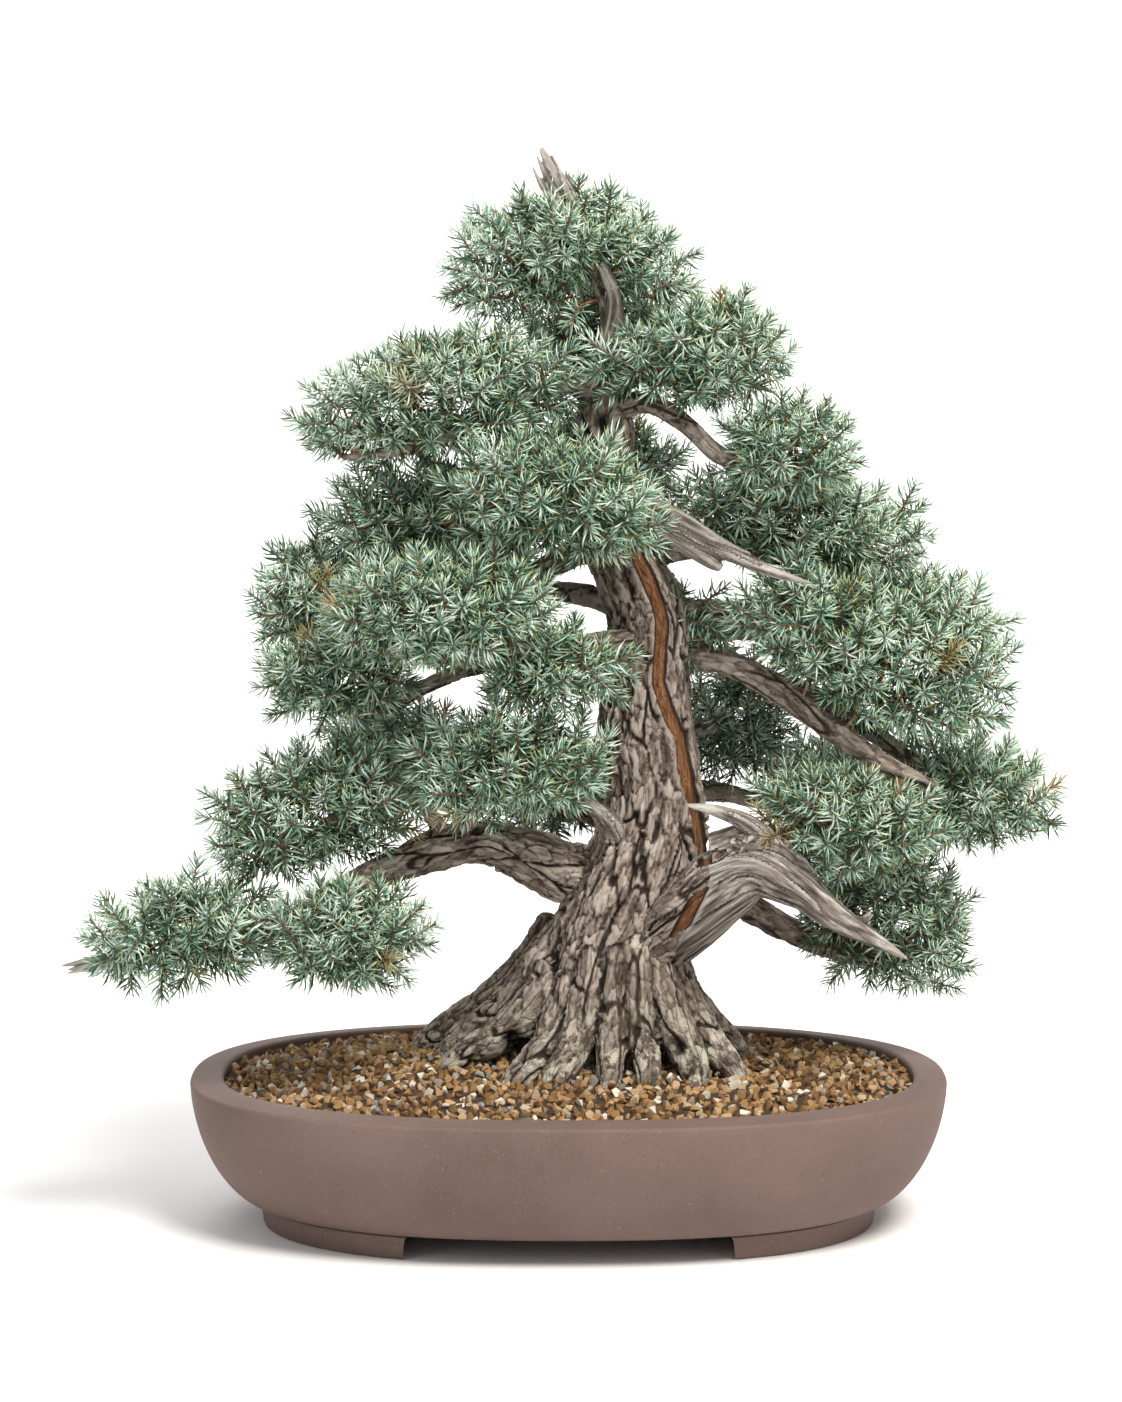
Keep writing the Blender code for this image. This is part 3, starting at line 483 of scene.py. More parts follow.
def wood_material():
    """Old conifer bark and bleached deadwood on one grown skin: flaking grey plates over dark fissures,
    moss low down, silver open grain where the bark is gone, and a smooth cinnamon strip of live bark.
    Painted shade darkens creases, broad hollows, knot holes and the strip's edges, and painted
    highlights pale the ridges. All of it is dry and matt."""
    made, tree, shader = new_material("bark_and_deadwood")
    grain = node(tree, "ShaderNodeAttribute", out="Vector", attribute_name="grain")
    dead, height, deep, crease, cave, away = [
        node(tree, "ShaderNodeAttribute", out="Fac", attribute_name=name)
        for name in ("bare", "rise", "hollow", "crease", "cave", "strip")]
    strip = node(tree, "ShaderNodeMapRange", away, 4.9 * MM, 4.2 * MM, interpolation_type="SMOOTHSTEP")
    # Painted shade along both edges of the strip, for a groove too fine for the mesh to show.
    rim = node(tree, "ShaderNodeMapRange", away, 2.5 * MM, 4.0 * MM, interpolation_type="SMOOTHSTEP")
    place = node(tree, "ShaderNodeTexCoord", out="Object")

    edge, flake = flakes(tree, grain)
    streaks = node(tree, "ShaderNodeTexNoise", stretched(tree, grain, 1.0, 0.2), 520.0, 5.0, 0.7)
    shreds = node(tree, "ShaderNodeTexNoise", stretched(tree, grain, 1.0, 0.28), 190.0, 5.0, 0.7)
    mottle = node(tree, "ShaderNodeTexNoise", place, 45.0, 5.0, 0.6)
    tone = node(tree, "ShaderNodeMath", flake, 0.18,
                node(tree, "ShaderNodeMath", streaks, 0.52, operation="MULTIPLY"), operation="MULTIPLY_ADD")
    tone = node(tree, "ShaderNodeMath", shreds, 0.4, tone, operation="MULTIPLY_ADD")
    tone = node(tree, "ShaderNodeMath", node(tree, "ShaderNodeMath", mottle, 0.5, operation="SUBTRACT"),
                0.55, tone, operation="MULTIPLY_ADD", use_clamp=True)
    bark = node(tree, "ShaderNodeValToRGB", tone,
                stops=((0.34, "#3A2E27"), (0.45, "#6A5B51"), (0.55, "#8E7F73"), (0.68, "#BDB1A5")))
    crack = cracks(tree, grain)
    gap = node(tree, "ShaderNodeMath",
               node(tree, "ShaderNodeMapRange", edge, 0.0, 0.13, 0.6, 1.0, interpolation_type="SMOOTHSTEP"),
               crack, operation="MULTIPLY")
    bark = node(tree, "ShaderNodeMix", gap, "#3A2E26", bark, data_type="RGBA")
    bark = tinted(tree, bark, (height, 0.15, 0.2, 0.34, "#3A302A"))

    low = node(tree, "ShaderNodeMapRange", height, 0.095, 0.0, interpolation_type="SMOOTHSTEP")
    moss_spots = node(tree, "ShaderNodeMapRange", node(tree, "ShaderNodeTexNoise", place, 48.0, 5.0, 0.65),
                      0.47, 0.6, interpolation_type="SMOOTHSTEP")
    moss = node(tree, "ShaderNodeMath", node(tree, "ShaderNodeMath", low, moss_spots, operation="MULTIPLY"),
                0.8, operation="MULTIPLY")
    bark = node(tree, "ShaderNodeMix", moss, bark, "#57522F", data_type="RGBA")
    # Darker towards the foot of the trunk and the roots.
    darker_low = node(tree, "ShaderNodeMath", low, 0.5, operation="MULTIPLY")
    bark = node(tree, "ShaderNodeMix", darker_low, bark, "#2E2519", data_type="RGBA")
    pale_spots = node(tree, "ShaderNodeMapRange", node(tree, "ShaderNodeTexNoise", place, 60.0, 5.0, 0.7),
                      0.49, 0.56, interpolation_type="SMOOTHSTEP")
    pale_low = node(tree, "ShaderNodeMapRange", height, 0.062, 0.014, interpolation_type="SMOOTHSTEP")
    pale = node(tree, "ShaderNodeMath",
                node(tree, "ShaderNodeMath", pale_low, pale_spots, operation="MULTIPLY"), gap,
                operation="MULTIPLY")
    bark = node(tree, "ShaderNodeMix", node(tree, "ShaderNodeMath", pale, 0.75, operation="MULTIPLY"), bark,
                "#CFC8B4", data_type="RGBA")
    # Painted highlight on the skin's ridges and painted shade in its creases and fissures.
    bark = tinted(tree, bark, (crease, -0.1, -0.55, 0.28, "#C6BBB0"),
                  (crease, 0.14, 0.75, 0.72, "#251C16"))

    groove = fibres(tree, grain)
    hair = node(tree, "ShaderNodeTexNoise", stretched(tree, grain, 1.0, 0.05), 1500.0, 3.0, 0.6)
    silver = node(tree, "ShaderNodeValToRGB", groove,
                  stops=((0.33, "#38302B"), (0.43, "#6B625B"), (0.54, "#968E87"), (0.68, "#C4BEB8")))
    # Painted highlight on the bare wood's ridges and painted shade in its creases, over its own darker hairs
    # and mottling.
    silver = tinted(tree, silver, (hair, 0.62, 0.36, 0.55, "#5B4F46"),
                    (mottle, 0.55, 0.75, 0.5, "#7A6B5D"), (crease, -0.08, -0.4, 0.4, "#D2CBC3"),
                    (crease, 0.08, 0.4, 0.8, "#2A211B"))
    colour = node(tree, "ShaderNodeMix", dead, bark, silver, data_type="RGBA")

    cinnamon = node(tree, "ShaderNodeValToRGB", streaks,
                    stops=((0.32, "#452B19"), (0.5, "#70482B"), (0.68, "#916642")))
    # Painted shade darkens the strip's edges, where its groove is.
    cinnamon = node(tree, "ShaderNodeMix", rim, cinnamon, "#2B1B11", data_type="RGBA")
    colour = node(tree, "ShaderNodeMix", strip, colour, cinnamon, data_type="RGBA")
    # Painted shade fills the knot holes and the gaps between roots.
    colour = node(tree, "ShaderNodeMix", node(tree, "ShaderNodeMath", deep, 0.85, operation="MULTIPLY"),
                  colour, "#1E1611", data_type="RGBA")
    # Painted shade in the broad hollows of the skin, such as between the roots.
    colour = tinted(tree, colour, (cave, 0.9, 3.2, 0.75, "#1B140F"))
    tree.links.new(colour, shader.inputs["Base Color"])

    barked = node(tree, "ShaderNodeMath",
                  node(tree, "ShaderNodeMath", shreds, 1.4, gap, operation="MULTIPLY_ADD"),
                  node(tree, "ShaderNodeMath", 1.0, dead, operation="SUBTRACT"), operation="MULTIPLY")
    relief = node(tree, "ShaderNodeMath", groove, dead, barked, operation="MULTIPLY_ADD")
    rough = node(tree, "ShaderNodeBump", {"Strength": 0.9, "Distance": 1.6 * MM, "Height": relief})
    rough = node(tree, "ShaderNodeBump",
                 {"Strength": 0.9, "Distance": 0.9 * MM, "Height": streaks, "Normal": rough})
    rough = node(tree, "ShaderNodeBump",
                 {"Strength": 0.9, "Distance": 0.5 * MM,
                  "Height": node(tree, "ShaderNodeMath", hair, dead, operation="MULTIPLY"),
                  "Normal": rough})
    tree.links.new(rough, shader.inputs["Normal"])
    sheen = node(tree, "ShaderNodeMath", strip, rim, operation="SUBTRACT", use_clamp=True)
    tree.links.new(node(tree, "ShaderNodeMath", sheen, -0.5, 0.88, operation="MULTIPLY_ADD"),
                   shader.inputs["Roughness"])
    shader.inputs["Specular IOR Level"].default_value = 0.3
    return made


def twig_material():
    """Young orange-brown bark on twigs, rough with the pegs that old needles leave."""
    made, tree, shader = new_material("twig_bark")
    place = node(tree, "ShaderNodeTexCoord", out="Object")
    mottle = node(tree, "ShaderNodeTexNoise", place, 320.0, 4.0, 0.6)
    colour = node(tree, "ShaderNodeValToRGB", mottle,
                  stops=((0.3, "#4A3324"), (0.5, "#785540"), (0.7, "#A27A5A")))
    tree.links.new(colour, shader.inputs["Base Color"])
    tree.links.new(node(tree, "ShaderNodeBump",
                        {"Strength": 0.8, "Distance": 0.5 * MM,
                         "Height": node(tree, "ShaderNodeTexNoise", place, 900.0, 2.0, 0.55)}),
                   shader.inputs["Normal"])
    shader.inputs["Roughness"].default_value = 0.85
    shader.inputs["Specular IOR Level"].default_value = 0.25
    return made


def needle_material():
    """Living blue-green needles under a thin wax bloom: satin, with painted shade at each needle's foot by
    the stem and on shoots within a pad and on its underside, yellow-green at some tips."""
    made, tree, shader = new_material("waxy_needles")
    along, tone, shoot, age = [node(tree, "ShaderNodeAttribute", out="Fac", attribute_name=name)
                               for name in ("along", "tone", "shoot_tone", "dry")]
    # Each needle's own random tone, moved by its shoot's random tone and painted shade.
    spread = node(tree, "ShaderNodeMath", tone, 0.78,
                  node(tree, "ShaderNodeMath", shoot, 0.52, -0.14, operation="MULTIPLY_ADD"),
                  operation="MULTIPLY_ADD")
    body = node(tree, "ShaderNodeValToRGB", spread,
                stops=((0.1, "#2A4533"), (0.34, "#588069"), (0.57, "#98BCA9"), (0.82, "#E0F0E2")))
    # Painted shade at each needle's foot by the stem; yellow-green towards the tips.
    tip = tinted(tree, body, (along, 0.42, 0.0, 0.85, "#3F5228"), (along, 0.6, 1.0, 0.8, "#C9D085"))
    colour = node(tree, "ShaderNodeMix", age, tip, "#A9853F", data_type="RGBA")
    tree.links.new(colour, shader.inputs["Base Color"])
    shader.inputs["Roughness"].default_value = 0.44
    shader.inputs["Specular IOR Level"].default_value = 0.42
    return made


def stoneware_material():
    """Unglazed purple-brown stoneware, sanded before firing: matt, with fine dark and pale grog and
    smoother rubbed edges."""
    made, tree, shader = new_material("unglazed_stoneware")
    place = node(tree, "ShaderNodeTexCoord", out="Object")
    cloud = node(tree, "ShaderNodeTexNoise", place, 9.0, 4.0, 0.6)
    grog = node(tree, "ShaderNodeTexNoise", place, 900.0, 3.0, 0.7)
    speck = node(tree, "ShaderNodeTexNoise", place, 420.0, 2.0, 0.5)
    colour = node(tree, "ShaderNodeValToRGB", cloud,
                  stops=((0.32, "#5F4D45"), (0.5, "#6B5750"), (0.68, "#745F58")))
    colour = tinted(tree, colour, (grog, 0.35, 0.7, 0.35, "#836F67"),
                    (speck, 0.66, 0.74, 0.5, "#8C7A72"), (speck, 0.33, 0.27, 0.6, "#574740"))
    tree.links.new(colour, shader.inputs["Base Color"])
    grainy = node(tree, "ShaderNodeBump", {"Strength": 0.5, "Distance": 0.35 * MM, "Height": grog})
    tree.links.new(node(tree, "ShaderNodeBump",
                        {"Strength": 0.25, "Distance": 0.5 * MM,
                         "Height": node(tree, "ShaderNodeTexNoise", place, 160.0, 3.0, 0.55),
                         "Normal": grainy}), shader.inputs["Normal"])
    tree.links.new(node(tree, "ShaderNodeMapRange", grog, 0.3, 0.7, 0.62, 0.8,
                        interpolation_type="SMOOTHSTEP"), shader.inputs["Roughness"])
    shader.inputs["Specular IOR Level"].default_value = 0.35
    return made


def grit_material():
    """Sieved baked-clay and lava grit: dry, matt, porous grains in tan and brown with some cream and
    grey."""
    made, tree, shader = new_material("mixed_grit")
    tone = node(tree, "ShaderNodeAttribute", out="Fac", attribute_name="tone")
    place = node(tree, "ShaderNodeTexCoord", out="Object")
    pores = node(tree, "ShaderNodeTexNoise", place, 900.0, 4.0, 0.7)
    colour = node(tree, "ShaderNodeValToRGB", tone,
                  stops=((0.0, "#6E5036"), (0.2, "#8A6844"), (0.42, "#A68258"), (0.64, "#B5936A"),
                         (0.82, "#C3A886"), (0.86, "#857E75"), (0.91, "#A8A094"), (0.96, "#E4DCC8")))
    colour = tinted(tree, colour, (pores, 0.5, 0.3, 0.5, "#7A5636"))
    tree.links.new(colour, shader.inputs["Base Color"])
    tree.links.new(node(tree, "ShaderNodeBump", {"Strength": 0.9, "Distance": 0.6 * MM, "Height": pores}),
                   shader.inputs["Normal"])
    shader.inputs["Roughness"].default_value = 0.95
    shader.inputs["Specular IOR Level"].default_value = 0.2
    return made


def grit_bed_and_gap_shade_material():
    """Dark fines between the grains, darker still as painted shade in the gaps between them."""
    made, tree, shader = new_material("grit_fines")
    place = node(tree, "ShaderNodeTexCoord", out="Object")
    crumbs = node(tree, "ShaderNodeTexNoise", place, 420.0, 4.0, 0.7)
    tree.links.new(node(tree, "ShaderNodeValToRGB", crumbs, stops=((0.3, "#2A1E14"), (0.7, "#58422D"))),
                   shader.inputs["Base Color"])
    tree.links.new(node(tree, "ShaderNodeBump", {"Strength": 1.0, "Distance": 1.5 * MM, "Height": crumbs}),
                   shader.inputs["Normal"])
    shader.inputs["Roughness"].default_value = 1.0
    return made


def plastic_material():
    """Black polyethylene drain mesh, moulded, slightly glossy."""
    made, tree, shader = new_material("black_drain_mesh")
    place = node(tree, "ShaderNodeTexCoord", out="Object")
    dust = node(tree, "ShaderNodeTexNoise", place, 300.0, 3.0, 0.55)
    tree.links.new(node(tree, "ShaderNodeValToRGB", dust, stops=((0.4, "#1B1B1B"), (0.75, "#3A342E"))),
                   shader.inputs["Base Color"])
    shader.inputs["Roughness"].default_value = 0.55
    return made


def wire_material():
    """Annealed aluminium training wire with a brown anodised skin."""
    made, tree, shader = new_material("brown_anodised_wire")
    place = node(tree, "ShaderNodeTexCoord", out="Object")
    drawn = node(tree, "ShaderNodeTexNoise", place, 500.0, 2.0, 0.55)
    tree.links.new(node(tree, "ShaderNodeValToRGB", drawn, stops=((0.3, "#5A4334"), (0.7, "#80624B"))),
                   shader.inputs["Base Color"])
    shader.inputs["Metallic"].default_value = 1.0
    shader.inputs["Roughness"].default_value = 0.42
    return made


# ---------------------------------------------------------------- wood


def smooth_path(points, gap_mm=3.0):
    """Points about a gap apart on a Catmull-Rom curve through the given ones, radii included."""
    points = np.asarray(points, float)
    ends = np.vstack([2 * points[0] - points[1], points, 2 * points[-1] - points[-2]])
    path = []
    for a, b, c, d in zip(ends, ends[1:], ends[2:], ends[3:]):
        steps = max(2, int(np.linalg.norm((c - b)[:3]) / gap_mm))
        for i in range(steps):
            t = i / steps
            path.append(b + (c - a) * (t / 2) + (2 * a - 5 * b + 4 * c - d) * (t * t / 2)
                        + (3 * b - a - 3 * c + d) * (t**3 / 2))
    path.append(points[-1])
    path = np.array(path) * MM
    path[:, 2] += COLLAR_Z
    path[:, 3:] = np.maximum(path[:, 3:], 0.5 * MM)
    return path


def frames(path):
    """Along each path: its direction, two directions across that turn as little as they can, and its
    length so far."""
    centres = path[:, :3]
    ahead = np.gradient(centres, axis=0)
    ahead /= np.linalg.norm(ahead, axis=1)[:, None]
    across = np.zeros_like(ahead)
    current = np.cross(ahead[0], (0.0, 1.0, 0.02))
    for i, way in enumerate(ahead):
        current = current - way * (current @ way)
        current /= np.linalg.norm(current)
        across[i] = current
    length = np.concatenate([[0.0], np.cumsum(np.linalg.norm(np.diff(centres, axis=0), axis=1))])
    return ahead, across, np.cross(ahead, across), length


def tube(bm, path, sides=20):
    """A closed tube along a path, with rings as wide as its radius."""
    _, across, other, _ = frames(path)
    loops = []
    for centre, one, two in zip(path, across, other):
        loops.append([bm.verts.new(centre[:3] + centre[3] * (one * cos(2 * pi * k / sides)
                                                             + two * sin(2 * pi * k / sides)))
                      for k in range(sides)])
    close_loft(bm, loops)


def join_rings(bm, rings):
    """Faces between each ring of points and the next."""
    for low, high in zip(rings, rings[1:]):
        for k in range(len(low)):
            after = (k + 1) % len(low)
            bm.faces.new((low[k], low[after], high[after], high[k]))


def close_loft(bm, rings):
    join_rings(bm, rings)
    bm.faces.new(list(reversed(rings[0])))
    bm.faces.new(rings[-1])


def trunk_tube(bm, path):
    """The trunk from its level rings, wide and deep apart."""
    turns = [2 * pi * k / TRUNK_SIDES for k in range(TRUNK_SIDES)]
    close_loft(bm, [[bm.verts.new((x + wide * cos(turn), y + deep * sin(turn), z)) for turn in turns]
                    for x, y, z, wide, deep in path])


def grain_samples(paths):
    """Every point of every path with its frame, its radii and how dead it is."""
    rows = []
    for index, (path, dead) in enumerate(paths):
        ahead, across, other, length = frames(path)
        wide = path[:, 3]
        deep = path[:, 4] if path.shape[1] > 4 else wide
        shift = np.full(len(path), 0.37 * index)
        rows.append(np.column_stack([path[:, :3], wide, deep, across, other, ahead, length + shift, dead]))
    return np.vstack(rows)


def vertex_rows(mesh, field):
    """One row for each point of a mesh: its place, or its normal."""
    rows = np.empty(len(mesh.vertices) * 3, np.float32)
    mesh.vertices.foreach_get(field, rows)
    return rows.reshape(-1, 3)


def wood_attributes(mesh, samples):
    """Writes on each point where it is in the grain of its own limb, how thick that limb is, and what
    covers it."""
    count = len(mesh.vertices)
    points = vertex_rows(mesh, "co").astype(float)
    normals = vertex_rows(mesh, "normal")
    nearest = np.empty(count, int)
    for start in range(0, count, 4000):
        part = points[start:start + 4000]
        offset = part[:, None, :] - samples[None, :, :3]
        away = np.linalg.norm(offset, axis=2)
        flat = np.hypot(offset[..., 0], offset[..., 1]) + 1e-6
        reach = samples[:, 3] * samples[:, 4] * flat / np.hypot(samples[:, 4] * offset[..., 0],
                                                                samples[:, 3] * offset[..., 1])
        radius = np.where(samples[:, 3] == samples[:, 4], samples[:, 3], reach)
        nearest[start:start + 4000] = np.argmin(away - radius, axis=1)
    near = samples[nearest]
    offset = points - near[:, :3]
    grain = np.column_stack([(offset * near[:, 5:8]).sum(1), (offset * near[:, 8:11]).sum(1),
                             near[:, 14] + (offset * near[:, 11:14]).sum(1)])
    attribute(mesh, "grain", grain, "FLOAT_VECTOR")
    attribute(mesh, "girth", near[:, 3])
    attribute(mesh, "dead", np.minimum(near[:, 15], right_of_strip(points)))
    rise = points[:, 2] - COLLAR_Z
    attribute(mesh, "rise", rise)
    attribute(mesh, "strip", strip_distance(points, normals, near[:, 3]))
    attribute(mesh, "hollow", hollows(points, normals))


def strip_distance(points, normals, girth):
    """Metres from each point of the trunk's front to the middle of the live strip, or far."""
    line = np.array(STRIP, float) * MM
    flat = np.column_stack([points[:, 0], points[:, 2] - COLLAR_Z])
    best = np.full(len(points), 1.0)
    for a, b in zip(line, line[1:]):
        step = b - a
        share = np.clip(((flat - a) @ step) / (step @ step), 0, 1)
        best = np.minimum(best, np.linalg.norm(flat - a - share[:, None] * step, axis=1))
    front = (normals[:, 1] < 0.15) & (girth > 15 * MM) & (points[:, 1] < 0)
    return np.where(front, best, 1.0)


def right_of_strip(points):
    """From 0 on the bark to the left of the strip's lower half to 1 past it, where the right-hand limb
    is bare."""
    line = np.array(STRIP[::-1], float) * MM
    edge = np.interp(points[:, 2] - COLLAR_Z, line[:, 1], line[:, 0], left=0.0, right=-1.0)
    past = np.clip((points[:, 0] - edge) / (6 * MM), 0, 1)
    low = (points[:, 2] - COLLAR_Z < 150 * MM) & (points[:, 0] > 0)
    return np.where(low, past, 1.0)


def hollows(points, normals):
    """How deep in a knot hole or a gap between roots each point is, from 0 to 1; the relief pushes these in
    and the bark paints them with shade.
    """
    deep = np.zeros(len(points))
    for x, height, wide, tall in HOLLOWS:
        across = (points[:, 0] - x * MM) / (wide * MM)
        up = (points[:, 2] - COLLAR_Z - height * MM) / (tall * MM)
        deep = np.maximum(deep, np.clip(1.25 - np.hypot(across, up), 0, 1))
    return np.where((normals[:, 1] < 0) & (points[:, 1] < 0.01), deep, 0)


def along_dead(path, start_mm, over_mm):
    """How dead a limb is along its length: bark at its foot, bare wood past the start."""
    length = frames(path)[3]
    return np.clip((length - start_mm * MM) / (over_mm * MM) + 0.5, 0, 1)


def relief_tree():
    """Moves the wood's skin in and out: lumps, bark plates, weathered fibres, and the live strip in its
    groove."""
    tree, given, out = geometry_tree("wood_relief", **{
        "Lump Share": ("Float", 0.20), "Flake Depth": ("Float", 2.1 * MM),
                                                       "Fibre Depth": ("Float", 2.6 * MM),
        "Strip Half Width": ("Float", STRIP_HALF_MM * MM), "Strip Depth": ("Float", 1.9 * MM)})
    skin, lump_share, flake_depth, fibre_depth, strip_half, strip_depth = given.outputs[:6]
    grain = node(tree, "GeometryNodeInputNamedAttribute", "grain", data_type="FLOAT_VECTOR")
    dead = dead_share(tree)
    girth, strip, deep = [node(tree, "GeometryNodeInputNamedAttribute", name, data_type="FLOAT")
                          for name in ("girth", "strip", "hollow")]
    lumps = node(tree, "ShaderNodeTexNoise", stretched(tree, grain, 1.0, 0.3), 34.0, 3.0, 0.5)
    lumps = node(tree, "ShaderNodeMath", node(tree, "ShaderNodeMath", lumps, 0.5, operation="SUBTRACT"),
                 node(tree, "ShaderNodeMath", girth, lump_share, operation="MULTIPLY"),
                 operation="MULTIPLY")
    flutes = node(tree, "ShaderNodeTexNoise", stretched(tree, grain, 1.0, 0.16), 75.0, 3.0, 0.5)
    flutes = node(tree, "ShaderNodeMath", node(tree, "ShaderNodeMath", flutes, 0.5, operation="SUBTRACT"),
                  node(tree, "ShaderNodeMath", girth, 0.26, operation="MULTIPLY"), operation="MULTIPLY")
    offset = node(tree, "ShaderNodeMath", lumps, flutes, operation="ADD")
    thick = node(tree, "ShaderNodeMath", girth, 1 / (20 * MM), operation="MULTIPLY", use_clamp=True)
    edge, flake = flakes(tree, grain)
    step = node(tree, "ShaderNodeMath",
                node(tree, "ShaderNodeMapRange", edge, 0.0, 0.1, interpolation_type="SMOOTHSTEP"), 0.5,
                flake, operation="MULTIPLY_ADD")
    step = node(tree, "ShaderNodeMath", step, 1.0, operation="SUBTRACT")
    shreds = node(tree, "ShaderNodeTexNoise", stretched(tree, grain, 1.0, 0.28), 190.0, 3.0, 0.6)
    step = node(tree, "ShaderNodeMath", node(tree, "ShaderNodeMath", shreds, 0.5, operation="SUBTRACT"),
                1.6, step, operation="MULTIPLY_ADD")
    wrinkles = node(tree, "ShaderNodeTexNoise", stretched(tree, grain, 1.0, 0.45), 330.0, 3.0, 0.6)
    step = node(tree, "ShaderNodeMath", node(tree, "ShaderNodeMath", wrinkles, 0.5, operation="SUBTRACT"),
                1.5, step, operation="MULTIPLY_ADD")
    step = node(tree, "ShaderNodeMath",
                node(tree, "ShaderNodeMath", cracks(tree, grain), 1.0, operation="SUBTRACT"), 1.5, step,
                operation="MULTIPLY_ADD")
    plates = node(tree, "ShaderNodeMath", step,
                  node(tree, "ShaderNodeMath", flake_depth, thick, operation="MULTIPLY"),
                  operation="MULTIPLY")
    bark_share = node(tree, "ShaderNodeMath", 1.0, dead, operation="SUBTRACT")
    live = node(tree, "ShaderNodeMapRange", strip, strip_half,
                node(tree, "ShaderNodeMath", strip_half, 1.4, operation="MULTIPLY"),
                interpolation_type="SMOOTHSTEP")
    bark_share = node(tree, "ShaderNodeMath", bark_share, live, operation="MULTIPLY")
    offset = node(tree, "ShaderNodeMath", plates, bark_share, offset, operation="MULTIPLY_ADD")
    fibre = node(tree, "ShaderNodeMath", fibres(tree, grain), 0.5, operation="SUBTRACT")
    slim = node(tree, "ShaderNodeMath", girth, 1 / (14 * MM), operation="MULTIPLY", use_clamp=True)
    fibre = node(tree, "ShaderNodeMath", fibre,
                 node(tree, "ShaderNodeMath", fibre_depth, slim, operation="MULTIPLY"),
                 operation="MULTIPLY")
    offset = node(tree, "ShaderNodeMath", fibre, dead, offset, operation="MULTIPLY_ADD")
    lip = node(tree, "ShaderNodeMath",
               node(tree, "ShaderNodeMapRange", strip, 11 * MM, 5.5 * MM, interpolation_type="SMOOTHSTEP"),
               node(tree, "ShaderNodeMapRange", strip, 3.4 * MM, 5 * MM, interpolation_type="SMOOTHSTEP"),
               operation="MULTIPLY")
    swell = node(tree, "ShaderNodeMapRange", strip, strip_half, 0.0, -1.0, -0.25,
                 interpolation_type="SMOOTHSTEP")
    sunk = node(tree, "ShaderNodeMapRange", strip, 4.8 * MM, 3.4 * MM, interpolation_type="SMOOTHSTEP")
    groove = node(tree, "ShaderNodeMath",
                  node(tree, "ShaderNodeMath", strip_depth, swell, operation="MULTIPLY"), sunk,
                  operation="MULTIPLY")
    groove = node(tree, "ShaderNodeMath", lip, 1.5 * MM, groove, operation="MULTIPLY_ADD")
    offset = node(tree, "ShaderNodeMath", offset, groove, operation="ADD")
    offset = node(tree, "ShaderNodeMath", deep, -7 * MM, offset, operation="MULTIPLY_ADD")
    normal = node(tree, "GeometryNodeInputNormal")
    moved = node(tree, "ShaderNodeVectorMath", normal, offset, operation="SCALE")
    placed = node(tree, "GeometryNodeSetPosition", {"Geometry": skin, "Offset": moved})
    stored = node(tree, "GeometryNodeStoreNamedAttribute", placed, None, "bare", dead,
                  data_type="FLOAT", domain="POINT")
    painted = node(tree, "GeometryNodeSetMaterial", {"Geometry": stored, "Material": MATERIALS["wood"]})
    realised = node(tree, "GeometryNodeRealizeInstances", {"Geometry": painted})
    tree.links.new(realised, out.inputs[0])
    return tree


def dead_share(tree):
    """Where bark gives way to bare wood, with a ragged edge between them."""
    grain = node(tree, "GeometryNodeInputNamedAttribute", "grain", data_type="FLOAT_VECTOR")
    ragged = node(tree, "ShaderNodeTexNoise", stretched(tree, grain, 1.0, 0.25), 110.0, 4.0, 0.6)
    share = node(tree, "ShaderNodeMath",
                 node(tree, "GeometryNodeInputNamedAttribute", "dead", data_type="FLOAT"),
                 node(tree, "ShaderNodeMath",
                      node(tree, "ShaderNodeMath", ragged, 0.5, operation="SUBTRACT"), 1.1,
                      operation="MULTIPLY"), operation="ADD")
    return node(tree, "ShaderNodeMapRange", share, 0.42, 0.58, interpolation_type="SMOOTHSTEP")


def spread_mean(values, edges, rounds):
    """The values after each point has taken the mean of its neighbours this many times."""
    count = len(values)
    ends = np.concatenate([edges[:, 0], edges[:, 1]])
    others = np.concatenate([edges[:, 1], edges[:, 0]])
    degree = np.maximum(np.bincount(ends, minlength=count), 1)
    for _ in range(rounds):
        values = np.column_stack([np.bincount(ends, values[others, axis], count) / degree
                                  for axis in range(3)])
    return values


def crease_attributes(mesh):
    """Millimetres that each point lies below the skin's own average, close by and farther round: above
    0 in a fissure or a gap, below 0 on an edge."""
    points = vertex_rows(mesh, "co").astype(float)
    edges = np.empty(len(mesh.edges) * 2, np.int32)
    mesh.edges.foreach_get("vertices", edges)
    edges = edges.reshape(-1, 2)
    near = spread_mean(points, edges, CREASE_ROUNDS)
    wide = spread_mean(near, edges, CAVE_ROUNDS)
    broad = spread_mean(vertex_rows(mesh, "normal").astype(float), edges, 2)
    broad /= np.linalg.norm(broad, axis=1)[:, None] + 1e-9
    attribute(mesh, "crease", ((near - points) * broad).sum(1) / MM)
    attribute(mesh, "cave", ((wide - points) * broad).sum(1) / MM)


def fused_skin(name, build, samples, voxel_mm, tree):
    """Overlapping limbs grown into one skin by a voxel remesh, then given its grain and its relief."""
    bm = bmesh.new()
    build(bm)
    bmesh.ops.recalc_face_normals(bm, faces=bm.faces)
    mesh = baked(bm, name)
    obj = show(name, mesh)
    remesh = obj.modifiers.new("fuse", "REMESH")
    remesh.mode = "VOXEL"
    remesh.voxel_size = voxel_mm * MM
    soften = obj.modifiers.new("soften", "SMOOTH")
    soften.factor = 0.5
    soften.iterations = 5
    settle(obj)
    wood_attributes(obj.data, samples)
    grow_modifier(obj, tree)
    settle(obj)
    crease_attributes(obj.data)
    obj.data.shade_smooth()
    return obj


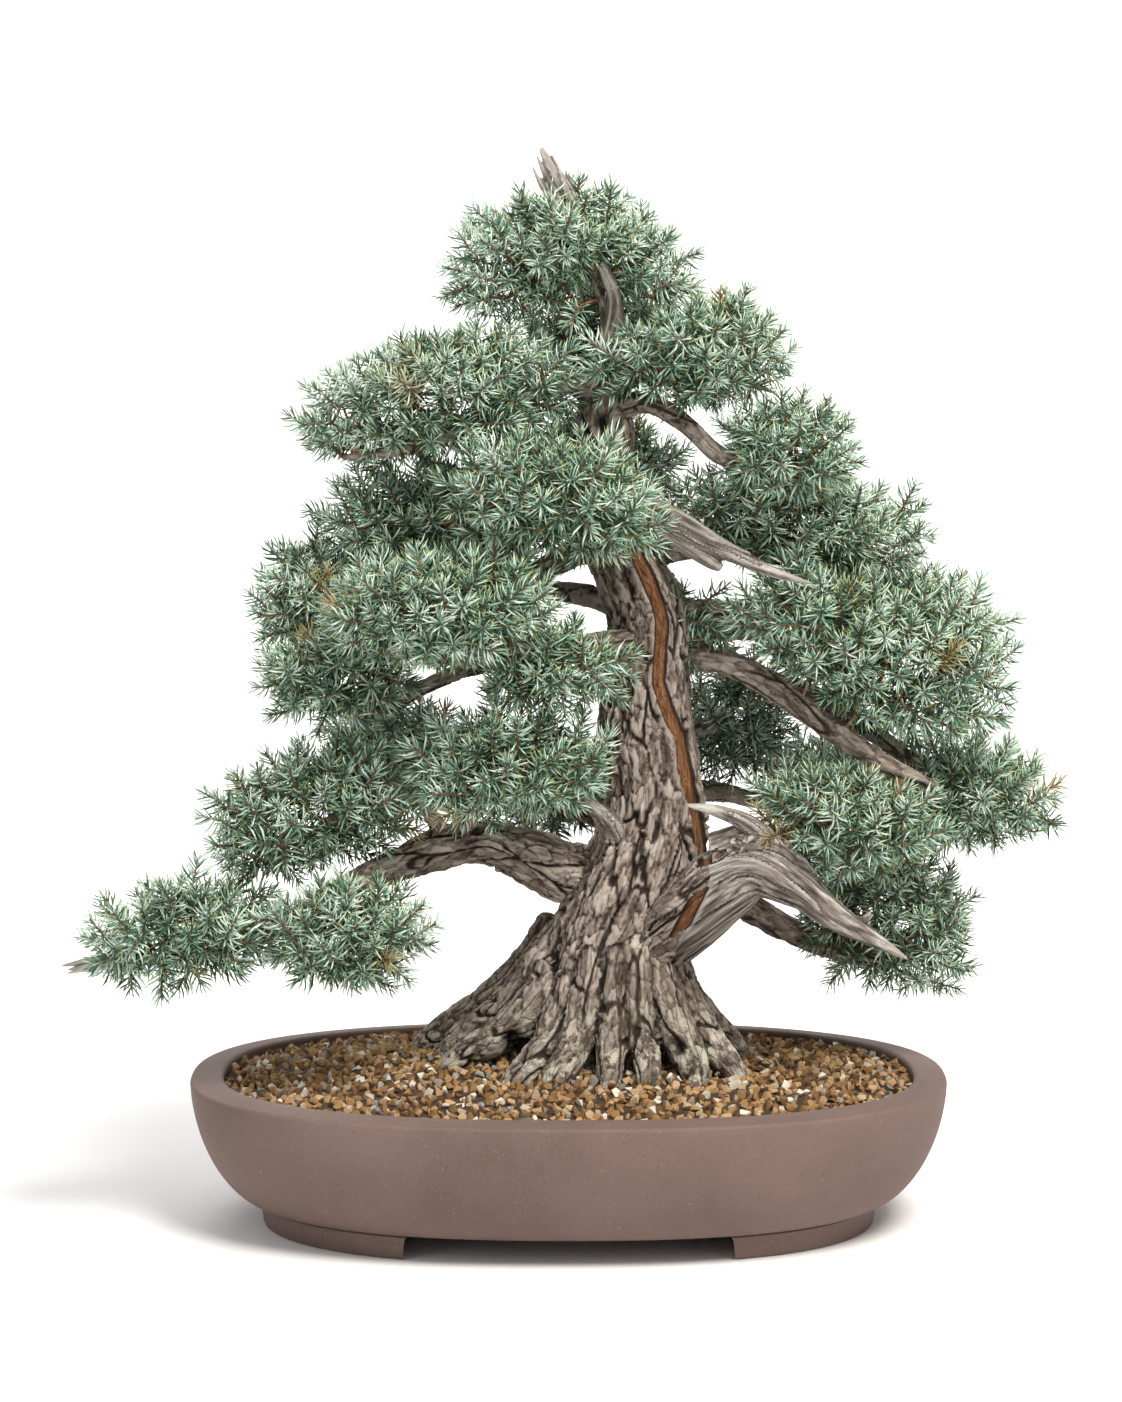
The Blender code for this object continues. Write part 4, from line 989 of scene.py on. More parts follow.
def strands(path, dead, count, rng):
    """Twisted strands of dead wood round a limb's middle line, each ending in a splinter of its own."""
    _, across, other, length = frames(path)
    share = length / length[-1]
    made = []
    for k in range(count):
        end = rng.uniform(*STRAND_ENDS)
        angle = 2 * pi * k / count + rng.uniform(-0.3, 0.3) + STRAND_TWIST * share
        taper = np.clip((end - share) / 0.22, 0.2, 1.0)
        out = across * np.cos(angle)[:, None] + other * np.sin(angle)[:, None]
        centre = path[:, :3] + out * (path[:, 3] * STRAND_OFFSET)[:, None]
        keep = share <= end
        made.append((np.column_stack([centre, path[:, 3] * STRAND_RADIUS * taper])[keep], dead[keep]))
    return made


def build_wood():
    tree = relief_tree()
    trunk = smooth_path(TRUNK, 4.0)
    trunk_dead = np.clip((trunk[:, 2] - COLLAR_Z - DEAD_TIP_HEIGHT * MM) / (24 * MM) + 0.5, 0, 1)
    roots = [smooth_path(points) for points in ROOTS]
    rng = np.random.default_rng(63)
    front, back, bare = [], [], []
    for name, lines in LIMBS.items():
        for points in lines:
            path = smooth_path(points)
            if name.startswith("deadwood"):
                dead = along_dead(path, 6, 10) if name == "deadwood_right_low" else along_dead(path, 14, 14)
                bare.append((path, dead))
                bare += strands(path, dead, STRAND_COUNT, rng)
                continue
            dead = np.zeros(len(path))
            if name == "branch_left_low":
                dead = np.clip((DEAD_LEFT_TIP * MM - path[:, 0]) / (16 * MM), 0, 1)
            (back if name.startswith("branch_back") else front).append((path, dead))
    for points in SPLINTERS:
        path = smooth_path(points, 2.0)
        bare.append((path, np.ones(len(path))))
    stem = [(trunk, trunk_dead)] + [(path, np.zeros(len(path))) for path in roots]

    def grow_stem(bm):
        trunk_tube(bm, trunk)
        for path in roots:
            tube(bm, path)

    def grow(rows, sides):
        def add(bm):
            for path, _ in rows:
                tube(bm, path, sides)
        return add

    skins = [("trunk_and_roots", grow_stem, stem + front + bare, TRUNK_VOXEL_MM, "bark", ["trunk"]),
             ("front_limbs", grow(front, 20), stem + front, LIMB_VOXEL_MM, "bark",
              [name for name in LIMBS if name.startswith(("branch_left", "branch_right", "branch_front"))]),
             ("bare_limbs", grow(bare, 12), stem[:1] + bare, BARE_VOXEL_MM, "deadwood",
              [name for name in LIMBS if name.startswith("deadwood")]),
             ("back_limbs", grow(back, 12), back, BACK_VOXEL_MM, "bark",
              [name for name in LIMBS if name.startswith("branch_back")])]
    for name, build, rows, voxel_mm, slot, nodes in skins:
        finish(fused_skin(name, build, grain_samples(rows), voxel_mm, tree), slot, *nodes)
    return [trunk[trunk[:, 2] < COLLAR_Z + 0.55], *[path for path, _ in front + back]]


def finish(piece, slot, *nodes):
    """Puts a piece on the root body and hides the imported pieces it stands for. Its finish slot is not
    used.
    """
    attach(piece, "root")
    if nodes:
        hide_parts(*nodes)


# ---------------------------------------------------------------- foliage


def needle_mesh():
    """One needle along +Z, three-sided, bent a little, blunt in the middle and pointed at its tip."""
    bm = bmesh.new()
    along = bm.verts.layers.float.new("along")
    rings = []
    for share, width, bend in ((0.0, 0.7, 0.0), (0.6, 1.0, 0.03)):
        ring = []
        for k in range(3):
            angle = 2 * pi * k / 3
            half = NEEDLE_WIDTH_MM * MM / 2 * width
            vertex = bm.verts.new((half * cos(angle) + bend * NEEDLE_LENGTH_MM * MM, half * 0.8 * sin(angle),
                                   share * NEEDLE_LENGTH_MM * MM))
            vertex[along] = share
            ring.append(vertex)
        rings.append(ring)
    tip = bm.verts.new((-0.05 * NEEDLE_LENGTH_MM * MM, 0, NEEDLE_LENGTH_MM * MM))
    tip[along] = 1.0
    for k in range(3):
        after = (k + 1) % 3
        bm.faces.new((rings[0][k], rings[0][after], rings[1][after], rings[1][k]))
        bm.faces.new((rings[1][k], rings[1][after], tip))
    mesh = baked(bm, "needle")
    mesh.shade_smooth()
    return mesh


def shoot_tree(needle):
    """One leafy shoot along +Z: needles on a golden-angle spiral round a slim stem, spread wide low
    down and closing towards the tip."""
    tree, given, out = geometry_tree("leafy_shoot", **{
        "Needles": ("Int", 38), "Length": ("Float", SHOOT_LENGTH_MM * MM),
                                                       "Wide Angle": ("Float", radians(78)),
        "Tip Angle": ("Float", radians(16)), "Stem Radius": ("Float", 0.7 * MM), "Seed": ("Int", 1)})
    count, length, wide, narrow, stem_radius, seed = given.outputs[1:7]
    place = node(tree, "GeometryNodeInputIndex")
    share = node(tree, "ShaderNodeMath", place, count, operation="DIVIDE")
    height = node(tree, "ShaderNodeMath", length,
                  node(tree, "ShaderNodeMath", share, 0.93, 0.07, operation="MULTIPLY_ADD"),
                  operation="MULTIPLY")
    position = node(tree, "ShaderNodeCombineXYZ", {"Z": height})
    points = node(tree, "GeometryNodePoints", {"Count": count, "Position": position})
    eased = node(tree, "ShaderNodeMath", share, 1.7, operation="POWER")
    tilt = node(tree, "ShaderNodeMix", {"Factor": eased, "A": wide, "B": narrow})
    tilt = node(tree, "ShaderNodeMath", tilt,
                node(tree, "FunctionNodeRandomValue", -0.24, 0.24, None, seed, data_type="FLOAT"),
                operation="ADD")
    golden = pi * (3 - sqrt(5))
    spin = node(tree, "ShaderNodeMath", place, golden,
                node(tree, "FunctionNodeRandomValue", -0.35, 0.35, None,
                     node(tree, "ShaderNodeMath", seed, 7, operation="ADD"), data_type="FLOAT"),
                operation="MULTIPLY_ADD")
    turn = node(tree, "ShaderNodeCombineXYZ", {"Y": tilt, "Z": spin})
    size = node(tree, "ShaderNodeMath",
                node(tree, "ShaderNodeMapRange", share, 0.55, 1.0, 1.0, 0.72,
                     interpolation_type="SMOOTHSTEP"),
                node(tree, "FunctionNodeRandomValue", 0.82, 1.12, None,
                     node(tree, "ShaderNodeMath", seed, 13, operation="ADD"), data_type="FLOAT"),
                operation="MULTIPLY")
    leaf = node(tree, "GeometryNodeObjectInfo", {"Object": needle, "As Instance": True}, out="Geometry")
    leaves = node(tree, "GeometryNodeInstanceOnPoints",
                  {"Points": points, "Instance": leaf, "Rotation": turn, "Scale": size})
    leaves = node(tree, "GeometryNodeStoreNamedAttribute", leaves, None, "tone",
                  node(tree, "FunctionNodeRandomValue", 0.0, 1.0, None,
                       node(tree, "ShaderNodeMath", seed, 29, operation="ADD"), data_type="FLOAT"),
                  data_type="FLOAT", domain="INSTANCE")
    leaves = node(tree, "GeometryNodeRealizeInstances", {"Geometry": leaves})
    leaves = node(tree, "GeometryNodeSetMaterial", {"Geometry": leaves, "Material": MATERIALS["needles"]})
    top = node(tree, "ShaderNodeCombineXYZ", {"Z": length})
    line = node(tree, "GeometryNodeCurvePrimitiveLine", {"End": top})
    ring = node(tree, "GeometryNodeCurvePrimitiveCircle", {"Resolution": 4, "Radius": stem_radius})
    stem = node(tree, "GeometryNodeCurveToMesh", {"Curve": line, "Profile Curve": ring, "Fill Caps": True})
    stem = node(tree, "GeometryNodeSetMaterial", {"Geometry": stem, "Material": MATERIALS["twigs"]})
    tree.links.new(node(tree, "GeometryNodeJoinGeometry", [leaves, stem]), out.inputs[0])
    return tree


def shoot_kinds():
    """Shoots of several lengths and fullnesses, each a plain mesh for the pads to repeat."""
    needle = show("needle", needle_mesh())
    tree = shoot_tree(needle)
    kinds = []
    for index in range(SHOOT_KINDS):
        host = show(f"shoot_{index}", bpy.data.meshes.new(f"shoot_{index}"))
        grow_modifier(host, tree,
                      **{"Needles": 32 + 3 * index, "Length": (SHOOT_LENGTH_MM - 5 + 2 * index) * MM,
                                     "Wide Angle": radians(84 - 3 * index),
                         "Tip Angle": radians(12 + 3 * index),
                                     "Seed": 100 + 31 * index})
        settle(host)
        kinds.append(host)
    bpy.data.objects.remove(needle)
    return kinds


def pad_tree(kinds):
    """Puts a shoot on every point, turned to its aim, as one mesh. The shoots bring their two materials."""
    tree, given, out = geometry_tree("foliage_pad")
    several = node(tree, "GeometryNodeJoinGeometry",
                   [node(tree, "GeometryNodeObjectInfo", {"Object": kind, "As Instance": True},
                         out="Geometry") for kind in reversed(kinds)])
    aim = node(tree, "GeometryNodeInputNamedAttribute", "aim", data_type="FLOAT_VECTOR")
    turned = node(tree, "FunctionNodeAlignRotationToVector", {"Vector": aim}, axis="Z")
    angle = node(tree, "GeometryNodeInputNamedAttribute", "spin", data_type="FLOAT")
    spin = node(tree, "FunctionNodeAxisAngleToRotation", {"Axis": (0, 0, 1), "Angle": angle})
    turned = node(tree, "FunctionNodeRotateRotation", {"Rotation": turned, "Rotate By": spin},
                  rotation_space="LOCAL")
    which = node(tree, "GeometryNodeInputNamedAttribute", "kind", data_type="INT")
    size = node(tree, "GeometryNodeInputNamedAttribute", "size", data_type="FLOAT")
    placed = node(tree, "GeometryNodeInstanceOnPoints",
                  {"Points": given.outputs[0], "Instance": several, "Pick Instance": True,
                   "Instance Index": which, "Rotation": turned, "Scale": size})
    plain = node(tree, "GeometryNodeRealizeInstances", {"Geometry": placed})
    tree.links.new(plain, out.inputs[0])
    return tree


def pad_surface(name, rng, spacing_mm):
    """Points spread over the outside of a pad's solid, with the way out at each."""
    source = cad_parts[name].data
    source.calc_loop_triangles()
    corners = [vertex.co.copy() for vertex in source.vertices]
    bvh = BVHTree.FromPolygons(corners, [tuple(t.vertices) for t in source.loop_triangles])
    low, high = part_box(name)
    middle = (low + high) / 2
    reach = (high - low).length
    tries = 2600
    hits = []
    for i in range(tries):
        z = 1 - 2 * (i + 0.5) / tries
        angle = i * pi * (3 - sqrt(5))
        flat = sqrt(1 - z * z)
        way = Vector((flat * cos(angle), flat * sin(angle), z))
        half = (high - low) / 2
        way = Vector((way.x * half.x, way.y * half.y, way.z * half.z)).normalized()
        point, normal, _, _ = bvh.ray_cast(middle + way * reach, -way)
        if point is not None:
            hits.append((*point, *(normal * 0.6 + way * 0.4).normalized()))
    hits = np.array(hits)[rng.permutation(len(hits))]
    kept = thin_out(hits[:, :3], spacing_mm * MM)
    return hits[kept], np.array(middle)


def thin_out(points, spacing):
    """The indices of points that keep at least this distance, taken in their order."""
    kept, cells = [], {}
    for index, point in enumerate(points):
        cell = tuple((point // spacing).astype(int))
        around = [other for dx in (-1, 0, 1) for dy in (-1, 0, 1) for dz in (-1, 0, 1)
                  for other in cells.get((cell[0] + dx, cell[1] + dy, cell[2] + dz), ())]
        if all(np.linalg.norm(point - points[other]) >= spacing for other in around):
            kept.append(index)
            cells.setdefault(cell, []).append(index)
    return kept


def pad_shoots(name, rng):
    """Where each shoot of a pad starts, the way it grows, its size and its painted shade: an outer coat, and
    a thinner, darker layer within.
    """
    outer, middle = pad_surface(name, rng, OUTER_SPACING_MM)
    inner, _ = pad_surface(name, rng, INNER_SPACING_MM)
    rows = []
    for layer, hits in enumerate((outer, inner)):
        for hit in hits:
            point, out = hit[:3], hit[3:]
            up = SHOOT_LIFT if out[2] > -0.3 else UNDERSIDE_LIFT
            aim = out + np.array((0, 0, up)) + rng.normal(0, SHOOT_SPREAD, 3)
            if out[2] < -0.35:
                aim[2] *= 0.45
            aim /= np.linalg.norm(aim)
            lobe = LOBE_MM * MM * lobes(point)
            if layer:
                point = middle + (point - middle) * INNER_SHARE
                start = point - aim * 0.4 * SHOOT_LENGTH_MM * MM
            else:
                start = point + out * lobe - aim * SHOOT_SET_BACK * SHOOT_LENGTH_MM * MM
            size = rng.uniform(*SHOOT_SIZES)
            if not in_window(start + aim * SHOOT_LENGTH_MM * MM / 2):
                # The last column is painted shade, more within the pad and on its underside.
                rows.append((*start, *aim, size, layer + 0.5 * max(0.0, -out[2])))
    for x, y, height, *aim in STRAYS.get(name, []):
        aim = np.array(aim) / np.linalg.norm(aim)
        rows.append((x * MM, y * MM, COLLAR_Z + height * MM, *aim, STRAY_SIZE, STRAY_SHADE))
    return np.array(rows)


def in_window(point):
    return point[1] < 0 and any(np.hypot(point[0] - x * MM,
                                         point[2] - COLLAR_Z - height * MM) < (radius + 7) * MM
                                for x, height, radius in WINDOWS)


def lobes(point):
    """A slow wave over the pads that breaks each one into smaller tufts."""
    x, y, z = point / (24 * MM)
    return (sin(2.1 * x + 1.3 * sin(1.7 * z)) + sin(2.3 * z + 1.1 * sin(1.9 * y) + 0.7)
            + sin(1.9 * y + sin(2.2 * x))) / 3


def spent_share(start):
    share = 0.0
    for x, height, spread, most in SPENT:
        away = np.hypot(start[0] - x * MM, start[2] - COLLAR_Z - height * MM) / (spread * MM)
        if start[1] < -0.02:
            share = max(share, most * max(0.0, 1.3 - away))
    return min(share, 1.0)


def build_foliage(wood):
    kinds = shoot_kinds()
    tree = pad_tree(kinds)
    rng = np.random.default_rng(481)
    bases = []
    for name in sorted(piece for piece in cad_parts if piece.startswith("foliage_")):
        shoots = pad_shoots(name, rng)
        mesh = bpy.data.meshes.new(name)
        mesh.from_pydata([tuple(row[:3]) for row in shoots], [], [])
        attribute(mesh, "aim", shoots[:, 3:6], "FLOAT_VECTOR")
        attribute(mesh, "spin", rng.uniform(0, 2 * pi, len(shoots)))
        attribute(mesh, "size", shoots[:, 6])
        attribute(mesh, "kind", rng.integers(0, SHOOT_KINDS, len(shoots)), "INT")
        # A random tone for each shoot, with painted shade taken off the inner layer and the undersides.
        shade = np.clip(rng.normal(0.56, 0.22, len(shoots)) - 0.55 * shoots[:, 7], 0, 1)
        attribute(mesh, "shoot_tone", shade)
        dry = np.array([spent_share(row[:3]) for row in shoots])
        dry = np.maximum(dry, np.where(rng.uniform(0, 1, len(shoots)) < 0.012, 0.6, 0.0))
        attribute(mesh, "dry", dry)
        pad = show(f"needles_{name[8:]}", mesh)
        grow_modifier(pad, tree)
        settle(pad)
        finish(pad, "needles", name)
        bases.append(shoots[:, :3])
    for kind in kinds:
        bpy.data.objects.remove(kind)
    build_twigs(wood, bases)


def build_twigs(wood, pads):
    """Fine twigs from the limbs to every shoot, each joined to the nearest wood already there, and
    thicker the more shoots it carries."""
    limb = np.vstack([path[::2, :3] for path in wood])
    bm = bmesh.new()
    for bases in pads:
        near = limb[np.linalg.norm(limb - bases.mean(0), axis=1) < 0.16]
        if not len(near):
            near = limb[np.argsort(np.linalg.norm(limb - bases.mean(0), axis=1))[:4]]
        places = [*near]
        parent = [-1] * len(near)
        cost = [0.0] * len(near)
        waiting = list(range(len(bases)))
        away = np.linalg.norm(bases[:, None] - near[None], axis=2)
        best_value, best_index = away.min(1), away.argmin(1)
        while waiting:
            pick = min(waiting, key=lambda i: best_value[i])
            waiting.remove(pick)
            index = len(places)
            places.append(bases[pick])
            parent.append(int(best_index[pick]))
            base_cost = cost[parent[-1]] + np.linalg.norm(bases[pick] - places[parent[-1]])
            cost.append(base_cost)
            for other in waiting:
                value = np.linalg.norm(bases[other] - bases[pick]) + DETOUR_COST * base_cost
                if value < best_value[other]:
                    best_value[other] = value
                    best_index[other] = index
        carried = [0] * len(places)
        for index in range(len(places) - 1, len(near) - 1, -1):
            carried[index] += 1
            if parent[index] >= len(near):
                carried[parent[index]] += carried[index]
        for index in range(len(near), len(places)):
            thick = min(TWIG_MM * sqrt(carried[index]), THICKEST_TWIG_MM) * MM
            start, end = places[parent[index]], places[index]
            middle = (start + end) / 2
            middle[2] -= 0.06 * np.linalg.norm(end - start)
            path = np.array([(*start, thick * 1.15), (*middle, thick * 1.05),
                             (*end, max(thick * 0.85, 0.6 * MM))])
            if np.linalg.norm(end - start) > 1e-4:
                tube(bm, path, 5)
    bmesh.ops.recalc_face_normals(bm, faces=bm.faces)
    mesh = baked(bm, "fine_twigs")
    mesh.shade_smooth()
    mesh.materials.append(MATERIALS["twigs"])
    finish(show("fine_twigs", mesh), "bark")


# ---------------------------------------------------------------- pot


def oval(half_length, half_depth, z, segments=160):
    """One ring of the pot's plan, a superellipse a little fuller than an ellipse."""
    ring = []
    for i in range(segments):
        across, along = cos(2 * pi * i / segments), sin(2 * pi * i / segments)
        ring.append((half_length * abs(across) ** (2 / PLAN_POWER) * (1 if across >= 0 else -1),
                     half_depth * abs(along) ** (2 / PLAN_POWER) * (1 if along >= 0 else -1), z))
    return ring


def tuck(z):
    """How far the bowl has drawn in at this height, from 0 at the lip to 1 at the foot."""
    down = min(max((POT_HEIGHT - LIP_FALL - z) / (POT_HEIGHT - LIP_FALL - FOOT_HEIGHT), 0.0), 1.0)
    return 1 - (1 - down**BOWL_POWER) ** (1 / BOWL_POWER)


def outside(z, inset=0.0):
    return oval(HALF_LENGTH - BOWL_TUCK_ENDS * tuck(z) - inset,
                HALF_DEPTH - BOWL_TUCK_SIDES * tuck(z) - inset, z)


def inside(z):
    ends = max(LIP_WIDTH, BOWL_TUCK_ENDS * tuck(z) + WALL)
    sides = max(LIP_WIDTH, BOWL_TUCK_SIDES * tuck(z) + WALL)
    return oval(HALF_LENGTH - ends, HALF_DEPTH - sides, z)


def heights(low, high, steps):
    """Heights that crowd towards the foot, where the bowl turns fastest."""
    return [low + (high - low) * (1 - cos(pi / 2 * i / steps)) for i in range(steps + 1)]


def loft(name, rings):
    bm = bmesh.new()
    close_loft(bm, [[bm.verts.new(point) for point in ring] for ring in rings])
    bmesh.ops.recalc_face_normals(bm, faces=bm.faces)
    mesh = baked(bm, name)
    return show(name, mesh)


def combine(obj, other, operation):
    modifier = obj.modifiers.new(other.name, "BOOLEAN")
    modifier.operation = operation
    modifier.solver = "EXACT"
    modifier.object = other


def lip_rings():
    """The rounded lip, from its outer edge over its gently falling top to its inner edge."""
    edge_z = POT_HEIGHT - LIP_FALL
    rings = []
    for step in range(1, 6):
        angle = pi / 2 * step / 5
        z = edge_z - LIP_ROUNDING * (1 - sin(angle))
        rings.append(outside(z, LIP_ROUNDING * (1 - cos(angle))))
    inner_edge = LIP_WIDTH - LIP_ROUNDING
    for step in range(1, 6):
        share = step / 5
        inset = LIP_ROUNDING + (inner_edge - LIP_ROUNDING) * share
        z = edge_z + LIP_FALL * sin(pi / 2 * share)
        rings.append(oval(HALF_LENGTH - inset, HALF_DEPTH - inset, z))
    for step in range(1, 5):
        angle = pi / 2 * step / 4
        inset = inner_edge + LIP_ROUNDING * sin(angle)
        rings.append(oval(HALF_LENGTH - inset, HALF_DEPTH - inset,
                          POT_HEIGHT - LIP_ROUNDING * (1 - cos(angle))))
    return rings


def build_pot():
    floor_z = FOOT_HEIGHT + FLOOR
    edge_z = POT_HEIGHT - LIP_FALL
    rings = [outside(z) for z in heights(FOOT_HEIGHT, edge_z - LIP_ROUNDING, 22)]
    rings += lip_rings()
    rings += [inside(z) for z in reversed(heights(floor_z, POT_HEIGHT - LIP_ROUNDING - 0.5 * MM, 14))]
    pot = loft("oval_pot", rings)
    foot_ends = HALF_LENGTH - BOWL_TUCK_ENDS
    foot_sides = HALF_DEPTH - BOWL_TUCK_SIDES
    edge = 1.2 * MM
    foot = loft("foot_ring", [
        oval(foot_ends - FOOT_TAPER - edge, foot_sides - FOOT_TAPER - edge, 0),
        oval(foot_ends - FOOT_TAPER - edge / 3, foot_sides - FOOT_TAPER - edge / 3, edge / 3),
        oval(foot_ends - FOOT_TAPER, foot_sides - FOOT_TAPER, edge),
        oval(foot_ends, foot_sides, FOOT_HEIGHT * 0.9),
        oval(foot_ends - WALL / 2, foot_sides - WALL / 2, FOOT_HEIGHT + FLOOR / 3)])
    hollow = loft("foot_hollow", [
        oval(foot_ends - FOOT_WIDTH, foot_sides - FOOT_WIDTH, -FOOT_HEIGHT),
        oval(foot_ends - FOOT_WIDTH, foot_sides - FOOT_WIDTH, FOOT_HEIGHT)])
    half, corner = FOOT_GAP_LENGTH / 2, FOOT_GAP_CORNER
    outline = [(-half - corner / 2, -FOOT_HEIGHT), (-half, FOOT_HEIGHT - corner)]
    for step in range(1, 7):
        angle = pi / 2 * step / 6
        outline.append((-half + corner * (1 - cos(angle)), FOOT_HEIGHT - corner + corner * sin(angle)))
    outline += [(-x, z) for x, z in reversed(outline)]
    gap = loft("foot_gap", [[(x, y, z) for x, z in outline] for y in (-HALF_DEPTH, HALF_DEPTH)])
    combine(foot, hollow, "DIFFERENCE")
    combine(foot, gap, "DIFFERENCE")
    combine(pot, foot, "UNION")
    helpers = [foot, hollow, gap]
    for side in (-1, 1):
        middle = side * DRAIN_SPACING / 2
        hole = loft(f"drain_{side}", [[(middle + DRAIN_HOLE / 2 * cos(2 * pi * i / 48),
                                        DRAIN_HOLE / 2 * sin(2 * pi * i / 48), z) for i in range(48)]
                                      for z in (0, POT_HEIGHT)])
        combine(pot, hole, "DIFFERENCE")
        helpers.append(hole)
    settle(pot)
    for helper in helpers:
        bpy.data.objects.remove(helper)
    pot.data.materials.clear()
    pot.data.materials.append(MATERIALS["stoneware"])
    pot.data.shade_smooth()
    pot.data.set_sharp_from_angle(angle=radians(32))
    finish(pot, "stoneware", "pot")


# ---------------------------------------------------------------- grit


def grain_kinds(rng):
    """Broken grains, each the hull of a few scattered points about one across."""
    kinds = []
    for index in range(10):
        bm = bmesh.new()
        for _ in range(11):
            way = rng.normal(0, 1, 3)
            way *= rng.uniform(0.42, 0.56) / np.linalg.norm(way)
            bm.verts.new(way * np.array((1.0, rng.uniform(0.7, 1.0), rng.uniform(0.6, 0.9))))
        hull = bmesh.ops.convex_hull(bm, input=bm.verts)
        loose = {item for item in hull["geom_interior"] if isinstance(item, bmesh.types.BMVert)}
        bmesh.ops.delete(bm, geom=list(loose), context="VERTS")
        mesh = baked(bm, f"grain_{index}")
        kinds.append(show(f"grain_{index}", mesh))
    return kinds


def grit_tree(kinds):
    """Strews grains over the bed, each turned and sized at random."""
    tree, given, out = geometry_tree("strewn_grit", **{
        "Spacing": ("Float", 4.9 * MM), "Smallest": ("Float", 5.6 * MM), "Largest": ("Float", 9.2 * MM),
        "Seed": ("Int", 5)})
    bed, spacing, smallest, largest, seed = given.outputs[:5]
    spread = node(tree, "GeometryNodeDistributePointsOnFaces",
                  {"Mesh": bed, "Distance Min": spacing, "Density Max": 90000.0, "Seed": seed},
                  distribute_method="POISSON")
    several = node(tree, "GeometryNodeJoinGeometry",
                   [node(tree, "GeometryNodeObjectInfo", {"Object": kind, "As Instance": True},
                         out="Geometry") for kind in reversed(kinds)])
    turn = node(tree, "FunctionNodeRandomValue", (0, 0, 0), (6.28, 6.28, 6.28), None, 3,
                data_type="FLOAT_VECTOR")
    share = node(tree, "FunctionNodeRandomValue", 0.0, 1.0, None, 11, data_type="FLOAT")
    size = node(tree, "ShaderNodeMix", {"Factor": share, "A": smallest, "B": largest})
    rise = node(tree, "FunctionNodeRandomValue", -1.6 * MM, 1.2 * MM, None, 17, data_type="FLOAT")
    lift = node(tree, "ShaderNodeCombineXYZ", {"Z": rise})
    lifted = node(tree, "GeometryNodeSetPosition", {"Geometry": spread, "Offset": lift})
    which = node(tree, "FunctionNodeRandomValue", 0, len(kinds) - 1, None, 23, data_type="INT")
    placed = node(tree, "GeometryNodeInstanceOnPoints",
                  {"Points": lifted, "Instance": several, "Pick Instance": True,
                   "Instance Index": which, "Rotation": turn, "Scale": size})
    tone = node(tree, "FunctionNodeRandomValue", 0.0, 1.0, None, 31, data_type="FLOAT")
    placed = node(tree, "GeometryNodeStoreNamedAttribute", placed, None, "tone", tone,
                  data_type="FLOAT", domain="INSTANCE")
    plain = node(tree, "GeometryNodeRealizeInstances", {"Geometry": placed})
    plain = node(tree, "GeometryNodeSetMaterial", {"Geometry": plain, "Material": MATERIALS["grit"]})
    tree.links.new(plain, out.inputs[0])
    return tree


def build_grit():
    """The loose top layer of grains, mounded towards the tree."""
    bm = bmesh.new()
    rings = []
    for step in range(16):
        out = 1 - step / 15.5
        z = GRIT_EDGE_Z + GRIT_MOUND * (1 - out**1.6) + 1.3 * MM
        ring = oval((HALF_LENGTH - LIP_WIDTH - 2.2 * MM) * out,
                    (HALF_DEPTH - LIP_WIDTH - 2.2 * MM) * out, z, 96)
        rings.append([bm.verts.new(point) for point in ring])
    join_rings(bm, rings)
    grains = show("grit_grains", baked(bm, "grit_grains"))
    kinds = grain_kinds(np.random.default_rng(77))
    grow_modifier(grains, grit_tree(kinds))
    settle(grains)
    for kind in kinds:
        bpy.data.objects.remove(kind)
    finish(grains, "grit")


def paint_cad_nodes():
    """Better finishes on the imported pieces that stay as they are."""
    finishes = {"grit": "bed", "drain_mesh_left": "plastic", "drain_mesh_right": "plastic",
                "mesh_clip_left": "wire", "mesh_clip_right": "wire"}
    for name, finish_name in finishes.items():
        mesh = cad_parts[name].data
        mesh.materials.clear()
        mesh.materials.append(MATERIALS[finish_name])


# ---------------------------------------------------------------- stage


